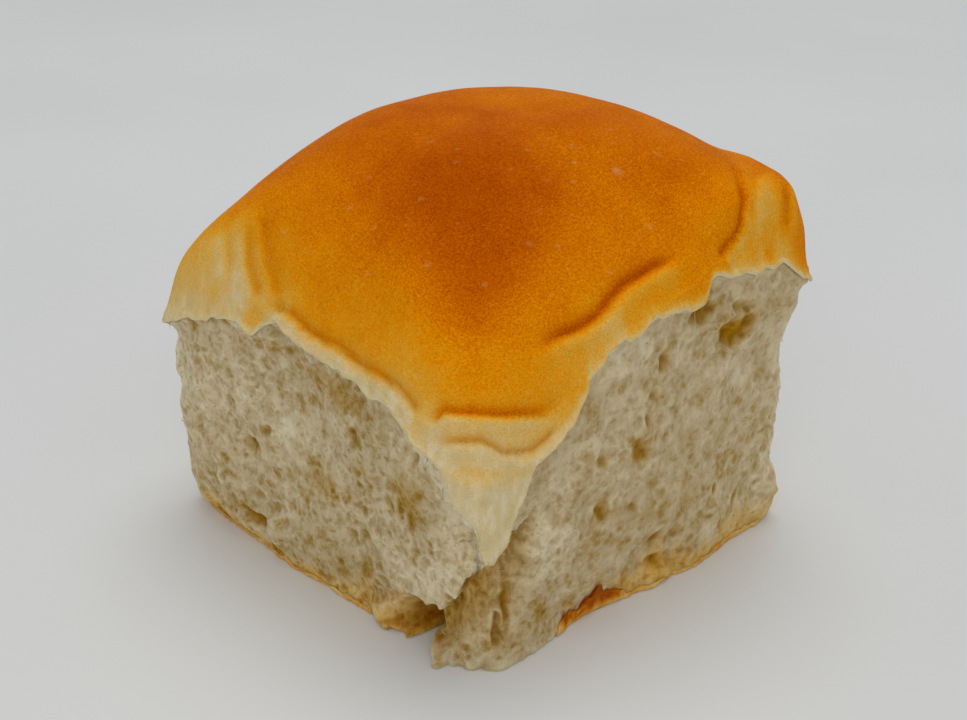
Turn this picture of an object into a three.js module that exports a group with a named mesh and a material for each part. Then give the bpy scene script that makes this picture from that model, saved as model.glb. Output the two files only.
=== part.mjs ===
// A soft white bread roll, pulled from the middle of a tray: a square roll with a domed, browned top crust,
// four torn crumb sides and a thin browned base. It is one closed body, in millimetres, +Z up, with its origin
// on the floor under the middle of the roll. Its sides face +X, +Y, -X and -Y.
//
// The surface is four patches that share their borders: the crown (a square grid pulled over the dome, out to
// its shoulder), the apron (the crust that hangs from the shoulder down to its torn rim), the torn wall (columns
// round the roll, from the floor up to that rim) and the flat underside.

import * as THREE from 'three';

// ---------------------------------------------------------------- driving dimensions (mm)

const CROWN_HEIGHT = 60.8; // top of the dome above the floor
const BASE_HALF = 30; // half the side of the square base
const SIDE_LENGTH = 2 * BASE_HALF;
const GIRTH = 4 * SIDE_LENGTH; // once round the roll, along its sides
const FULL_TURN = 2 * Math.PI;

// Values that change round the roll are given for eight directions, with a smooth curve through them:
// +X, +X+Y corner, +Y, +Y-X corner, -X, -X-Y corner, -Y, -Y+X corner.
const RIM_HALF = [30.8, 32.2, 31.2, 31.5, 31.0, 33.8, 31.0, 30.4]; // half width at the crust's shoulder
const WAIST = [0.1, 0.6, 0.0, 0.3, 0.2, 2.9, 0.2, -1.0]; // how far the torn wall leans out at mid height
const FULLNESS = [3.1, 5.7, 4.9, 4.7, 4.0, 4.0, 3.1, 3.6]; // how far the dome keeps its height before it drops
const DOME_OFF_CENTRE = { x: 1.0, y: -1.1 }; // where the dome's top lies
const RIM_SQUARENESS = [18, 18, 18, 18, 18, 18, 18, 11]; // exponent of the rim's rounded square
const ROUND_MIDDLE = 8; // how late, going outwards, the dome's round contours turn square
const BASE_SQUARENESS = 9; // the base has rounder corners

// Two corners carry a skirt of pale crust that stands out beyond the dome's foot and then turns down to the rim.
const CORNER_SKIRTS = [
  { angle: FULL_TURN / 8, spread: 0.75, height: 56.5, inwardDrop: 14, sharpness: 20 },
  { angle: FULL_TURN * 5 / 8, spread: 0.75, height: 44.8, inwardDrop: -6.5, sharpness: 14 },
];
const SKIRT_BLEND = 3; // rounding where a skirt meets the dome
const SKIRT_SINK = 6; // a skirt fades out this far under the dome
const RIM_TURN = { start: 0.9, sharpness: 6 }; // the crust turns down to its rim over this last share of its reach

// Height of the crust's shoulder, where the crown's curve ends and the crust hangs straight down:
// [place along the side, height].
const SHOULDER_HEIGHTS = [
  // +X side, place = y
  [[-30, 28.5], [-22, 29], [-16, 31.5], [-12, 36], [-8, 39.8], [0, 42.6], [6, 44.2], [9, 46.2], [12, 46.2],
    [18, 44.6], [22, 43.4], [26, 41.4], [30, 39.6]],
  // +Y side, place = -x
  [[-30, 39.6], [-24, 39.5], [-10, 41], [5, 41], [18, 38.5], [30, 35.8]],
  // -X side, place = -y
  [[-30, 35.8], [-20, 37.5], [-5, 39.5], [10, 37], [22, 32.5], [30, 30.5]],
  // -Y side, place = x
  [[-30, 30.5], [-26, 32.2], [-20, 34.4], [-14, 36], [-8, 37], [-4.5, 38.8], [-2, 37.7], [2, 37.2], [8, 36.5],
    [14, 35.7], [17, 34.8], [20, 32.8], [24, 30.6], [30, 28.5]],
];

// Height of the crust's torn rim along each side. It hangs as a tongue near the -Y+X corner, and as a lip at y 8.
const RIM_HEIGHTS = [
  [[-30, 24.2], [-29.2, 23.8], [-28.6, 22.4], [-27.8, 18.4], [-26.7, 17.1], [-25.9, 16.8], [-25.4, 17.6],
    [-23.8, 18.5], [-22.9, 21.7], [-21.1, 25.9], [-19.6, 28.3], [-17.8, 29.2], [-15.5, 30.2], [-13.4, 31.6],
    [-12.4, 33.7], [-10.4, 37], [-9.2, 37.9], [-7.1, 39.1], [-2.8, 39.9], [-1.1, 41.1], [3, 41.8], [6.7, 41.4],
    [7.9, 41.9], [8.6, 44.6], [9.6, 45.1], [12, 44.4], [13.4, 43.8], [19.3, 43.2], [21.5, 42.6], [23.3, 41.5],
    [24.6, 40.2], [26, 39.2], [30, 38]],
  [[-30, 38], [-24, 38.5], [-10, 40], [5, 40], [18, 37.5], [30, 35]],
  [[-30, 35], [-20, 36.5], [-5, 38.5], [10, 36], [22, 31.5], [30, 29.5]],
  [[-30, 29.5], [-26, 31], [-22.2, 32.4], [-20, 33.3], [-16.9, 34.6], [-12, 35.3], [-9, 35.3], [-7.9, 36.1],
    [-5.1, 38.2], [-4.3, 38.3], [-2.6, 36.9], [-1.7, 36.4], [3.1, 36.1], [7.1, 35.6], [15.1, 34.7], [16.6, 34.1],
    [17.9, 33.1], [20.6, 31.3], [22.8, 30.5], [25.4, 29.2], [26.8, 27.8], [27.4, 26.3], [28.7, 25.4], [30, 24.2]],
];

// Folds pressed into the crust. Points are [x, y] on the crown, in the order that has the rim on their right.
// A fold sinks by depth over width, and the crust stands up by ridge at ridgeGap outside it. It fades in and out
// over ends, as shares of its length.
const FOLDS = [
  { name: 'step over the -Y+X corner', depth: 0.7, width: 1.0, ridge: 0.3, ridgeGap: 1.6, ends: [0.06, 0.3],
    points: [[21.1, -29.4], [23.0, -28.7], [25.1, -26.7], [27.3, -24.0], [28.6, -20.5], [29.4, -17.1],
      [29.8, -12.7]] },
  { name: 'pleat in the corner tongue', depth: 0.45, width: 1.0, ridge: 0.4, ridgeGap: 1.7, ends: [0.2, 0.1],
    points: [[23.3, -29.5], [24.9, -28.8], [27.7, -25.9], [29.3, -23.7], [30.3, -19.5], [30.4, -15.6]] },
  { name: 'foot of the dome, +X side', depth: 0.8, width: 1.0, ridge: 0.45, ridgeGap: 1.7, ends: [0.25, 0.2],
    points: [[26.5, -18.6], [26.8, -15.7], [27.3, -12.9], [28.1, -10.4], [28.7, -7.7], [28.2, -3.0], [28.6, 1.9],
      [29.0, 4.5], [29.7, 7.0]] },
  { name: 'foot of the dome, -Y side', depth: 0.55, width: 1.0, ridge: 0.35, ridgeGap: 1.6, ends: [0.15, 0.04],
    points: [[-9.3, -31.0], [-3.5, -30.6], [0.5, -30.4], [5.3, -30.0], [13.1, -29.8], [16.8, -29.6],
      [21.1, -29.4]] },
  { name: 'crease round the folded corner', depth: 0.55, width: 1.0, ridge: 0.2, ridgeGap: 1.6, ends: [0.04, 0.3],
    points: [[31.2, 11.2], [30.9, 14.3], [30.4, 15.9], [28.7, 17.8], [25.4, 20.3], [21.0, 23.7]] },
  { name: 'wrinkle down the -X-Y skirt', depth: 0.25, width: 1.3, ridge: 0.15, ridgeGap: 2.2, ends: [0.3, 0.2],
    points: [[-15.3, -25.0], [-12.6, -28.1], [-9.9, -29.3], [-4.7, -30.5]] },
  { name: 'second wrinkle down the skirt', depth: 0.35, width: 1.3, ridge: 0.2, ridgeGap: 2.2, ends: [0.3, 0.2],
    points: [[-16.9, -26.6], [-14.2, -29.7], [-9.3, -31.0]] },
  { name: 'crease behind the -X side', depth: 0.7, width: 1.1, ridge: 0.35, ridgeGap: 1.9, ends: [0.3, 0.35],
    points: [[-25.6, 22.0], [-27.4, 16.0], [-28.6, 9.0], [-28.9, 2.0], [-28.4, -4.0], [-26.8, -9.0]] },
  { name: 'crease behind the +Y side', depth: 0.45, width: 1.2, ridge: 0.2, ridgeGap: 1.9, ends: [0.35, 0.35],
    points: [[17.0, 27.6], [11.0, 28.6], [5.0, 28.9], [0.0, 28.2]] },
];
const FOLD_ROUND_SIDE = 2.0; // the crust rolls softly into a fold from the dome's side
const FOLD_SHARP_SIDE = 0.8; // and comes out of it sharply on the rim's side
const LIP_LENGTH = 1.1; // the ridge outside a fold dies away over this many gaps

// Hollows torn out of the walls, and lumps (negative depth) left on them.
// side: 0 +X, 1 +Y, 2 -X, 3 -Y; along and height are the middle, wide and tall the half sizes, and slope is the
// share of the radius that slopes.
const TORN_MARKS = [
  // -Y side
  { side: 3, along: 19.4, height: 3.4, wide: 4.2, tall: 4.4, depth: 5.5, slope: 0.75 }, // gap beside the foot
  { side: 3, along: 20.8, height: 0.0, wide: 2.4, tall: 3.6, depth: 4.2, slope: 0.8 }, // the same gap at the floor
  { side: 3, along: 13.4, height: 1.6, wide: 4.0, tall: 3.4, depth: -1.8, slope: 0.8 }, // crumb left on the base
  { side: 3, along: 20.3, height: 28.0, wide: 2.0, tall: 2.0, depth: 0.7, slope: 1 },
  { side: 3, along: 10.8, height: 30.6, wide: 2.0, tall: 2.0, depth: 0.6, slope: 1 },
  { side: 3, along: 8.9, height: 26.3, wide: 2.0, tall: 2.6, depth: 0.7, slope: 1 },
  { side: 3, along: -9.4, height: 20.3, wide: 2.2, tall: 2.4, depth: 0.8, slope: 1 },
  { side: 3, along: -12.6, height: 16.4, wide: 2.6, tall: 2.4, depth: 0.8, slope: 1 },
  { side: 3, along: 18.5, height: 21.8, wide: 5.0, tall: 4.6, depth: 0.35, slope: 1 },
  { side: 3, along: 1.9, height: 17.2, wide: 5.0, tall: 4.0, depth: 0.25, slope: 1 },
  { side: 3, along: 17.9, height: 0.8, wide: 1.9, tall: 1.8, depth: -1.4, slope: 1 }, // pointed lump by the gap
  { side: 3, along: 23.8, height: 0.8, wide: 1.9, tall: 1.8, depth: -1.3, slope: 1 }, // tip of the foot
  { side: 3, along: -13.0, height: 4.9, wide: 3.4, tall: 2.0, depth: 1.1, slope: 0.9 }, // beside the crumb flap
  { side: 3, along: -18.1, height: 9.0, wide: 2.2, tall: 2.2, depth: -0.7, slope: 1 },
  { side: 3, along: -8.2, height: 5.0, wide: 3.0, tall: 3.4, depth: -1.2, slope: 0.8 }, // crumb flap over the base
  { side: 3, along: -7.0, height: 34.6, wide: 2.0, tall: 1.8, depth: -0.8, slope: 0.8 },
  { side: 3, along: 5.0, height: 31.5, wide: 9.0, tall: 3.0, depth: 0.3, slope: 1 }, // hollow under the rim
  // +X side
  { side: 0, along: 16.2, height: 34.6, wide: 4.4, tall: 3.2, depth: 1.3, slope: 0.9 }, // hollow under a shelf
  { side: 0, along: 16.6, height: 38.6, wide: 2.0, tall: 2.2, depth: 0.9, slope: 0.9 },
  { side: 0, along: 13.4, height: 37.0, wide: 3.2, tall: 1.8, depth: -0.9, slope: 0.9 }, // the shelf
  { side: 0, along: 9.2, height: 39.6, wide: 2.4, tall: 2.4, depth: 1.0, slope: 0.9 },
  { side: 0, along: 3.0, height: 34.3, wide: 2.2, tall: 2.6, depth: 0.75, slope: 1 },
  { side: 0, along: 1.4, height: 29.7, wide: 2.0, tall: 2.4, depth: 0.5, slope: 1 },
  { side: 0, along: -1.1, height: 22.9, wide: 2.2, tall: 2.8, depth: 0.7, slope: 1 },
  { side: 0, along: -7.7, height: 23.9, wide: 2.0, tall: 2.6, depth: 0.65, slope: 1 },
  { side: 0, along: -7.0, height: 16.0, wide: 2.2, tall: 2.8, depth: 0.7, slope: 1 },
  { side: 0, along: -1.8, height: 14.6, wide: 2.0, tall: 2.4, depth: 0.5, slope: 1 },
  { side: 0, along: 3.4, height: 7.7, wide: 2.2, tall: 2.4, depth: 0.65, slope: 1 },
  { side: 0, along: 2.8, height: 4.1, wide: 2.4, tall: 2.2, depth: 0.7, slope: 0.9 },
  { side: 0, along: -5.4, height: 36.0, wide: 4.0, tall: 1.8, depth: -0.7, slope: 0.9 }, // crumb under the rim
  { side: 0, along: 3.8, height: 1.2, wide: 3.4, tall: 2.6, depth: -1.1, slope: 0.7 }, // crumb stuck to the base
  { side: 0, along: -7.4, height: 0.8, wide: 5.8, tall: 1.8, depth: -0.7, slope: 0.8 }, // flap of base crust
  { side: 0, along: -23.5, height: 8.2, wide: 2.0, tall: 3.8, depth: 1.0, slope: 1 },
  { side: 0, along: -25.3, height: 5.6, wide: 2.0, tall: 2.2, depth: 1.3, slope: 1 },
  { side: 0, along: 29.5, height: 3.0, wide: 7.0, tall: 9.0, depth: -1.9, slope: 1 }, // that corner's spread foot
  // sides at the back
  { side: 1, along: -13, height: 27, wide: 3.6, tall: 4.8, depth: 0.6, slope: 1 },
  { side: 1, along: -4, height: 33, wide: 1.8, tall: 2.2, depth: 0.7, slope: 1 },
  { side: 1, along: 5, height: 13, wide: 5.0, tall: 3.2, depth: 0.4, slope: 1 },
  { side: 1, along: 17, height: 29, wide: 1.9, tall: 2.6, depth: 0.8, slope: 1 },
  { side: 1, along: 20, height: 6, wide: 4.0, tall: 3.4, depth: -1.1, slope: 0.8 },
  { side: 2, along: -19, height: 26, wide: 1.9, tall: 2.4, depth: 0.7, slope: 1 },
  { side: 2, along: -5, height: 8, wide: 5.0, tall: 3.4, depth: 0.4, slope: 1 },
  { side: 2, along: 11, height: 27, wide: 3.4, tall: 4.0, depth: 0.5, slope: 1 },
  { side: 2, along: 18, height: 12, wide: 3.2, tall: 3.0, depth: -1.0, slope: 0.8 },
];

// The torn flap over the -Y+X corner: its lower edge [place round the girth, height], and the hollow under it.
// The girth starts at the -Y end of the +X side; the -Y side runs from 180 to 240.
const FLAP_EDGE = [[226, 5.0], [229.8, 7.4], [234.9, 8.0], [237.4, 10.8], [239.1, 13.2], [244, 16.4],
  [246.6, 18.0], [252, 22.0]];
const FLAP = { depth: 2.6, lip: 2.4, taper: 3.0, footTop: 3.6, footSlope: 3.0, fadeFrom: 1.0, fade: 12.0 };

// Roughness of the torn wall: waves of each length (mm) push it in and out by height (mm).
const TORN_WAVES = [{ length: 11, height: 0.9 }, { length: 4.6, height: 0.65 }];
const RIM_RAGGED = { length: 3.1, height: 0.55 }; // up and down tearing of the crust's rim
const RIM_BELOW_SHOULDER = 0.4; // the rim hangs at least this far under the shoulder
const SHOULDER_BEND = { slope: 0.26, drop: 3.0 }; // the crust leans out at its shoulder and is upright this far down
const CROWN_WAVES = { length: 14, height: 0.35 }; // slow unevenness of the crust
const LIP_UNDERCUT = { depth: 0.5, height: 1.7 }; // the crumb sits back just under the crust's rim
const TONGUE_CLINGS = { less: 0.85, reach: 14 }; // but less so round the -Y+X corner, this far along the girth
const BASE_SKIN = { height: 1.2, stickOut: 0.5 }; // browned skin at the foot of the torn walls
const WAIST_START = 0.08; // the wall reaches its lean at this share of its height
const WAIST_AT_FOOT = 0.65; // share of the lean that it has at the floor
const FLARE = 9; // exponent of the wall's flare to the rim: the larger, the later
const WAVE_STRETCH = 0.8; // torn waves are a little taller than wide
const RIM_GRIP = 0.8; // the wall's roughness fades out this close under the rim
const CORNER_TURN = 5; // how sharply the wall's outward direction turns at a corner

// Faces of the solid
const CROWN_STEPS = 44; // squares along one side of the crown's grid
const APRON_STEPS = 2; // rows of the apron
const WALL_STEPS = 19; // rows of the torn wall
const RIM_CROWDING = 0.3; // draws the crown's grid lines together towards the steep rim
const RIM_FADE = 0.9; // the crust's relief fades out this far above its torn rim
const RIM_RELIEF = 0.15; // where a trace of it is left
const SHOULDER_TURN = 0.93; // from this share of the grid on, relief turns from square to the crown to outwards
const CLOSE_ENOUGH = 1e-9;

// ---------------------------------------------------------------- small helpers

const clamp = (value, low, high) => Math.min(high, Math.max(low, value));
const mix = (a, b, share) => a + (b - a) * share;
const ease = (value) => {
  const t = clamp(value, 0, 1);
  return t * t * (3 - 2 * t);
};

// A repeatable random number from -1 to 1 for a point of the integer lattice.
function latticeValue(i, j, k) {
  let h = Math.imul(i, 374761393) + Math.imul(j, 668265263) + Math.imul(k, 2147483647);
  h = Math.imul(h ^ (h >>> 13), 1274126177);
  h ^= h >>> 16;
  return (h >>> 0) / 2147483647.5 - 1;
}

// Smooth random waves, about one length long.
function waves(x, y, z, length) {
  const px = x / length;
  const py = y / length;
  const pz = z / length;
  const [i, j, k] = [Math.floor(px), Math.floor(py), Math.floor(pz)];
  const [u, v, w] = [ease(px - i), ease(py - j), ease(pz - k)];
  const row = (dj, dk) => mix(latticeValue(i, j + dj, k + dk), latticeValue(i + 1, j + dj, k + dk), u);
  return mix(mix(row(0, 0), row(1, 0), v), mix(row(0, 1), row(1, 1), v), w);
}

// A value given for the eight directions, at any angle, on a smooth curve through them.
function around(angle, values) {
  const turn = ((angle / FULL_TURN) % 1 + 1) % 1 * values.length;
  const i = Math.floor(turn);
  const t = turn - i;
  const [before, here, after, beyond] = [-1, 0, 1, 2].map((n) => values[(i + n + values.length) % values.length]);
  return mix(here, after, ease(t)) + t * (1 - t) * ((1 - t) * (after - before) - t * (beyond - here)) / 2;
}

// The value at a place in a list of [place, value].
function valueAt(knots, place) {
  const next = clamp(knots.findIndex(([p]) => p >= place), 1, knots.length - 1);
  const [p0, v0] = knots[next - 1];
  const [p1, v1] = knots[next];
  return mix(v0, v1, clamp((place - p0) / (p1 - p0), 0, 1));
}

// The higher of two heights, with a rounded join.
function roundedMax(a, b, blend) {
  const share = clamp(0.5 + 0.5 * (a - b) / blend, 0, 1);
  return mix(b, a, share) + blend * share * (1 - share);
}

// ---------------------------------------------------------------- the roll's outline

// Which side an angle looks at, and how far along it, from -1 to 1.
function sideAt(angle) {
  const side = ((Math.round(angle / (FULL_TURN / 4)) % 4) + 4) % 4;
  return { side, along: clamp(Math.tan(angle - side * FULL_TURN / 4), -1, 1) };
}

function shoulderHeight(angle) {
  const { side, along } = sideAt(angle);
  return valueAt(SHOULDER_HEIGHTS[side], along * BASE_HALF);
}

function rimHeight(angle) {
  const { side, along } = sideAt(angle);
  const ragged = waves(BASE_HALF * Math.cos(angle), BASE_HALF * Math.sin(angle), 0, RIM_RAGGED.length);
  const torn = valueAt(RIM_HEIGHTS[side], along * BASE_HALF) + RIM_RAGGED.height * ragged;
  return Math.min(torn, shoulderHeight(angle) - RIM_BELOW_SHOULDER);
}

// Distance from the middle as a share of the half width: its contours are round in the middle of the roll and
// turn square towards the rim. The power depends on the share itself, so it is found in a few passes.
const SHARE_PASSES = 8;
function crownShare(x, y, angle) {
  const half = around(angle, RIM_HALF);
  const squareness = around(angle, RIM_SQUARENESS);
  const large = Math.max(Math.abs(x), Math.abs(y), CLOSE_ENOUGH);
  const ratio = Math.min(Math.abs(x), Math.abs(y)) / large;
  let share = large / half;
  for (let pass = 0; pass < SHARE_PASSES; pass += 1) {
    const power = mix(2, squareness, Math.min(share, 1) ** ROUND_MIDDLE);
    share = mix(share, large * (1 + ratio ** power) ** (1 / power) / half, 0.5);
  }
  return share;
}

// ---------------------------------------------------------------- the crown

function crownHeight(x, y) {
  const angle = Math.atan2(y, x);
  const share = Math.min(1, crownShare(x, y, angle));
  const shift = 1 - share * share;
  const domeShare = Math.min(1, crownShare(x - DOME_OFF_CENTRE.x * shift, y - DOME_OFF_CENTRE.y * shift, angle));
  const rim = shoulderHeight(angle);
  const dome = CROWN_HEIGHT - (CROWN_HEIGHT - rim) * domeShare ** around(angle, FULLNESS);

  let height = dome;
  for (const skirt of CORNER_SKIRTS) {
    const edgeCos = Math.cos(skirt.spread);
    const weight = ease((Math.cos(angle - skirt.angle) - edgeCos) / (1 - edgeCos));
    const top = skirt.height - skirt.inwardDrop * (1 - share);
    const raised = rim + (top - rim) * (1 - share ** skirt.sharpness);
    height = roundedMax(height, mix(dome - SKIRT_SINK, raised, weight), SKIRT_BLEND);
  }
  const edge = clamp((share - RIM_TURN.start) / (1 - RIM_TURN.start), 0, 1) ** RIM_TURN.sharpness;
  return mix(height, rim, edge);
}

// The folds' points, lifted onto the crown once.
const liftedFolds = FOLDS.map((fold) => ({
  ...fold,
  line: fold.points.map(([x, y]) => new THREE.Vector3(x, y, crownHeight(x, y))),
}));

// Nearest place on a fold: its distance, which the signed value counts as minus on the dome's side, and the share
// of the fold's length.
function nearestOnFold(line, point) {
  let best = { distance: Infinity, signed: Infinity, share: 0 };
  const segment = new THREE.Line3();
  const closest = new THREE.Vector3();
  for (let i = 0; i + 1 < line.length; i += 1) {
    segment.set(line[i], line[i + 1]);
    const t = segment.closestPointToPointParameter(point, true);
    segment.at(t, closest);
    const distance = closest.distanceTo(point);
    if (distance < best.distance) {
      const [from, to] = [line[i], line[i + 1]];
      const outside = (to.x - from.x) * (point.y - closest.y) < (to.y - from.y) * (point.x - closest.x);
      best = { distance, signed: outside ? distance : -distance, share: (i + t) / (line.length - 1) };
    }
  }
  return best;
}

// How far the crust is pushed out (+) or in (-) at a point.
function crustRelief(point) {
  let push = CROWN_WAVES.height * waves(point.x, point.y, point.z, CROWN_WAVES.length);
  for (const fold of liftedFolds) {
    const near = nearestOnFold(fold.line, point);
    const [first, last] = fold.ends;
    const fade = ease(near.share / first) * ease((1 - near.share) / last);
    const width = fold.width * (near.signed > 0 ? FOLD_SHARP_SIDE : FOLD_ROUND_SIDE);
    const valley = Math.exp(-((near.signed / width) ** 2));
    const beyond = Math.max(near.signed - fold.ridgeGap, 0) / (LIP_LENGTH * fold.ridgeGap);
    const ridge = ease(near.signed / fold.ridgeGap) * Math.exp(-(beyond ** 2));
    push += fade * (fold.ridge * ridge - fold.depth * valley);
  }
  return push;
}

// Unit vector square to the crown's surface, from heights a small step d to each side.
function crownNormal(x, y) {
  const d = 0.05;
  const slopeX = (crownHeight(x + d, y) - crownHeight(x - d, y)) / (2 * d);
  const slopeY = (crownHeight(x, y + d) - crownHeight(x, y - d)) / (2 * d);
  return new THREE.Vector3(-slopeX, -slopeY, 1).normalize();
}

// ---------------------------------------------------------------- the torn wall

// Signed distance from b to a, the shorter way round the roll.
function girthGap(a, b) {
  return (((a - b + GIRTH / 2) % GIRTH) + GIRTH) % GIRTH - GIRTH / 2;
}

// How far a hollow or lump pushes the wall.
function tornMark(mark, girth, height) {
  const middle = mark.side * SIDE_LENGTH + mark.along + BASE_HALF;
  const d = Math.hypot(girthGap(girth, middle) / mark.wide, (height - mark.height) / mark.tall);
  return -mark.depth * ease((1 - d) / mark.slope);
}

// Share of the way into the hollow under the torn flap.
function flapHollow(girth, height) {
  const place = girth < GIRTH / 2 ? girth + GIRTH : girth;
  const below = valueAt(FLAP_EDGE, place) - height;
  const under = ease(below / FLAP.lip) * ease(1 - (below - FLAP.fadeFrom) / FLAP.fade);
  const aboveFoot = ease((height - FLAP.footTop) / FLAP.footSlope + 1);
  const [start, end] = [FLAP_EDGE[0][0], FLAP_EDGE[FLAP_EDGE.length - 1][0]];
  const ends = ease((place - start) / FLAP.taper) * ease((end - place) / FLAP.taper);
  return under * aboveFoot * ends;
}

// The smooth wall, before it is torn: a point at a share of the way up, its outward direction and its place round
// the girth.
function smoothWall(angle, up) {
  const { side, along } = sideAt(angle);
  const waist = around(angle, WAIST) * mix(WAIST_AT_FOOT, 1, ease(up / WAIST_START));
  const lean = mix(waist, around(angle, RIM_HALF) - BASE_HALF, up ** FLARE);
  const squareness = mix(BASE_SQUARENESS, around(angle, RIM_SQUARENESS), up);
  const half = (BASE_HALF + lean) * (1 + Math.abs(along) ** squareness) ** (-1 / squareness);
  const place = new THREE.Vector2(half, half * along).rotateAround(new THREE.Vector2(), side * FULL_TURN / 4);
  const outward = new THREE.Vector2(
    Math.sign(place.x) * Math.abs(place.x / BASE_HALF) ** CORNER_TURN,
    Math.sign(place.y) * Math.abs(place.y / BASE_HALF) ** CORNER_TURN,
  ).normalize();
  return { place, outward, girth: side * SIDE_LENGTH + (along + 1) * BASE_HALF };
}

// A point of the torn wall: angle round the roll, and share of the way up from the floor to the rim.
function wallPoint(angle, up) {
  const { place, outward, girth } = smoothWall(angle, up);
  const rim = rimHeight(angle);
  const height = up * rim;
  let push = 0;
  for (const { length, height: size } of TORN_WAVES) {
    push += size * waves(place.x, place.y, height * WAVE_STRETCH, length);
  }
  for (const mark of TORN_MARKS) {
    push += tornMark(mark, girth, height);
  }
  push -= FLAP.depth * flapHollow(girth, height);
  const belowRim = rim - height;
  const clinging = TONGUE_CLINGS.less * Math.exp(-((girthGap(girth, 0) / TONGUE_CLINGS.reach) ** 2));
  push -= LIP_UNDERCUT.depth * (1 - clinging) * Math.exp(-((belowRim / LIP_UNDERCUT.height - 1) ** 2));
  push *= ease(belowRim / RIM_GRIP);
  push += BASE_SKIN.stickOut * (1 - ease(height / BASE_SKIN.height));
  return new THREE.Vector3(place.x + outward.x * push, place.y + outward.y * push, height);
}

// A point of the crust that hangs from its shoulder: angle, and share of the way down to the torn rim.
function apronPoint(angle, down) {
  const { place, outward } = smoothWall(angle, 1);
  const shoulder = shoulderHeight(angle);
  const rim = rimHeight(angle);
  const drop = (shoulder - rim) * down;
  const curve = Math.min(drop, SHOULDER_BEND.drop);
  const bulge = SHOULDER_BEND.slope * curve * (1 - curve / (2 * SHOULDER_BEND.drop));
  const point = new THREE.Vector3(place.x + outward.x * bulge, place.y + outward.y * bulge, shoulder - drop);
  const settle = ease(RIM_RELIEF + (point.z - rim) / RIM_FADE);
  return point.addScaledVector(new THREE.Vector3(outward.x, outward.y, 0), crustRelief(point) * settle);
}

// ---------------------------------------------------------------- the closed surface

// Grid lines from -1 to 1.
function gridLine(step, steps) {
  return 2 * step / steps - 1;
}

// A point of the crown's grid. Its outermost points lie on the shoulder.
function crownPoint(u, v) {
  const even = Math.max(Math.abs(u), Math.abs(v));
  const angle = Math.atan2(v, u);
  if (even > 1 - CLOSE_ENOUGH) {
    return apronPoint(angle, 0);
  }
  const crowding = 1 + RIM_CROWDING * (1 - even * even);
  const reach = even * crowding;
  const ratio = even < CLOSE_ENOUGH ? 0 : Math.min(Math.abs(u), Math.abs(v)) / even;
  const squareness = around(angle, RIM_SQUARENESS);
  const rounding = (1 + ratio ** squareness) ** (-1 / squareness);
  const scale = around(angle, RIM_HALF) * crowding * rounding ** (reach * reach);
  const x = u * scale;
  const y = v * scale;
  const point = new THREE.Vector3(x, y, crownHeight(x, y));
  const outward = new THREE.Vector3(x, y, 0).normalize();
  const turned = ease((even - SHOULDER_TURN) / (1 - SHOULDER_TURN));
  const direction = crownNormal(x, y).lerp(outward, turned).normalize();
  return point.addScaledVector(direction, crustRelief(point));
}

// Grid places round the border, once round, starting at the +X-Y corner.
function borderPlaces(steps) {
  const places = [];
  for (let side = 0; side < 4; side += 1) {
    for (let step = 0; step < steps; step += 1) {
      const along = gridLine(step, steps);
      const corners = [[1, along], [-along, 1], [-1, -along], [along, -1]];
      places.push(corners[side]);
    }
  }
  return places;
}

function breadRollGeometry() {
  const positions = [];
  const faces = [];
  const addPoint = (point) => {
    positions.push(point.x, point.y, point.z);
    return positions.length / 3 - 1;
  };
  const addQuad = (a, b, c, d) => faces.push(a, b, c, a, c, d);

  // crown, whose squares are split towards the nearest corner of the roll
  const crown = [];
  for (let j = 0; j <= CROWN_STEPS; j += 1) {
    crown.push([]);
    for (let i = 0; i <= CROWN_STEPS; i += 1) {
      crown[j].push(addPoint(crownPoint(gridLine(i, CROWN_STEPS), gridLine(j, CROWN_STEPS))));
    }
  }
  for (let j = 0; j < CROWN_STEPS; j += 1) {
    for (let i = 0; i < CROWN_STEPS; i += 1) {
      const square = [crown[j][i], crown[j][i + 1], crown[j + 1][i + 1], crown[j + 1][i]];
      const splitsToCorner = (2 * i + 1 - CROWN_STEPS) * (2 * j + 1 - CROWN_STEPS) > 0;
      addQuad(...(splitsToCorner ? square : [...square.slice(1), square[0]]));
    }
  }

  // torn wall and apron, whose top row is the crown's border
  const last = CROWN_STEPS;
  const shoulder = [];
  for (let step = 0; step < last; step += 1) {
    shoulder.push([crown[step][last], crown[last][last - step], crown[last - step][0], crown[0][step]]);
  }
  const places = borderPlaces(CROWN_STEPS);
  const angles = places.map(([u, v]) => Math.atan2(v, u));
  const columns = places.length;
  const rows = [];
  for (let row = 0; row < WALL_STEPS; row += 1) {
    rows.push(angles.map((angle) => addPoint(wallPoint(angle, row / WALL_STEPS))));
  }
  for (let row = APRON_STEPS; row > 0; row -= 1) {
    rows.push(angles.map((angle) => addPoint(apronPoint(angle, row / APRON_STEPS))));
  }
  rows.push(places.map((_, column) => shoulder[column % last][Math.floor(column / last)]));
  for (let row = 0; row < WALL_STEPS + APRON_STEPS; row += 1) {
    for (let column = 0; column < columns; column += 1) {
      const next = (column + 1) % columns;
      addQuad(rows[row][column], rows[row][next], rows[row + 1][next], rows[row + 1][column]);
    }
  }

  // flat underside
  const middle = addPoint(new THREE.Vector3(0, 0, 0));
  for (let column = 0; column < columns; column += 1) {
    faces.push(middle, rows[0][(column + 1) % columns], rows[0][column]);
  }

  const geometry = new THREE.BufferGeometry();
  geometry.setAttribute('position', new THREE.Float32BufferAttribute(positions, 3));
  geometry.setIndex(faces);
  geometry.computeVertexNormals();
  return geometry;
}

// ---------------------------------------------------------------- the part

const bread = new THREE.MeshStandardMaterial({ color: 0xcf8a2e, roughness: 0.6, metalness: 0 });
const roll = new THREE.Mesh(breadRollGeometry(), bread);
roll.name = 'bread_roll';

const group = new THREE.Group();
group.add(roll);

export default group;
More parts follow.
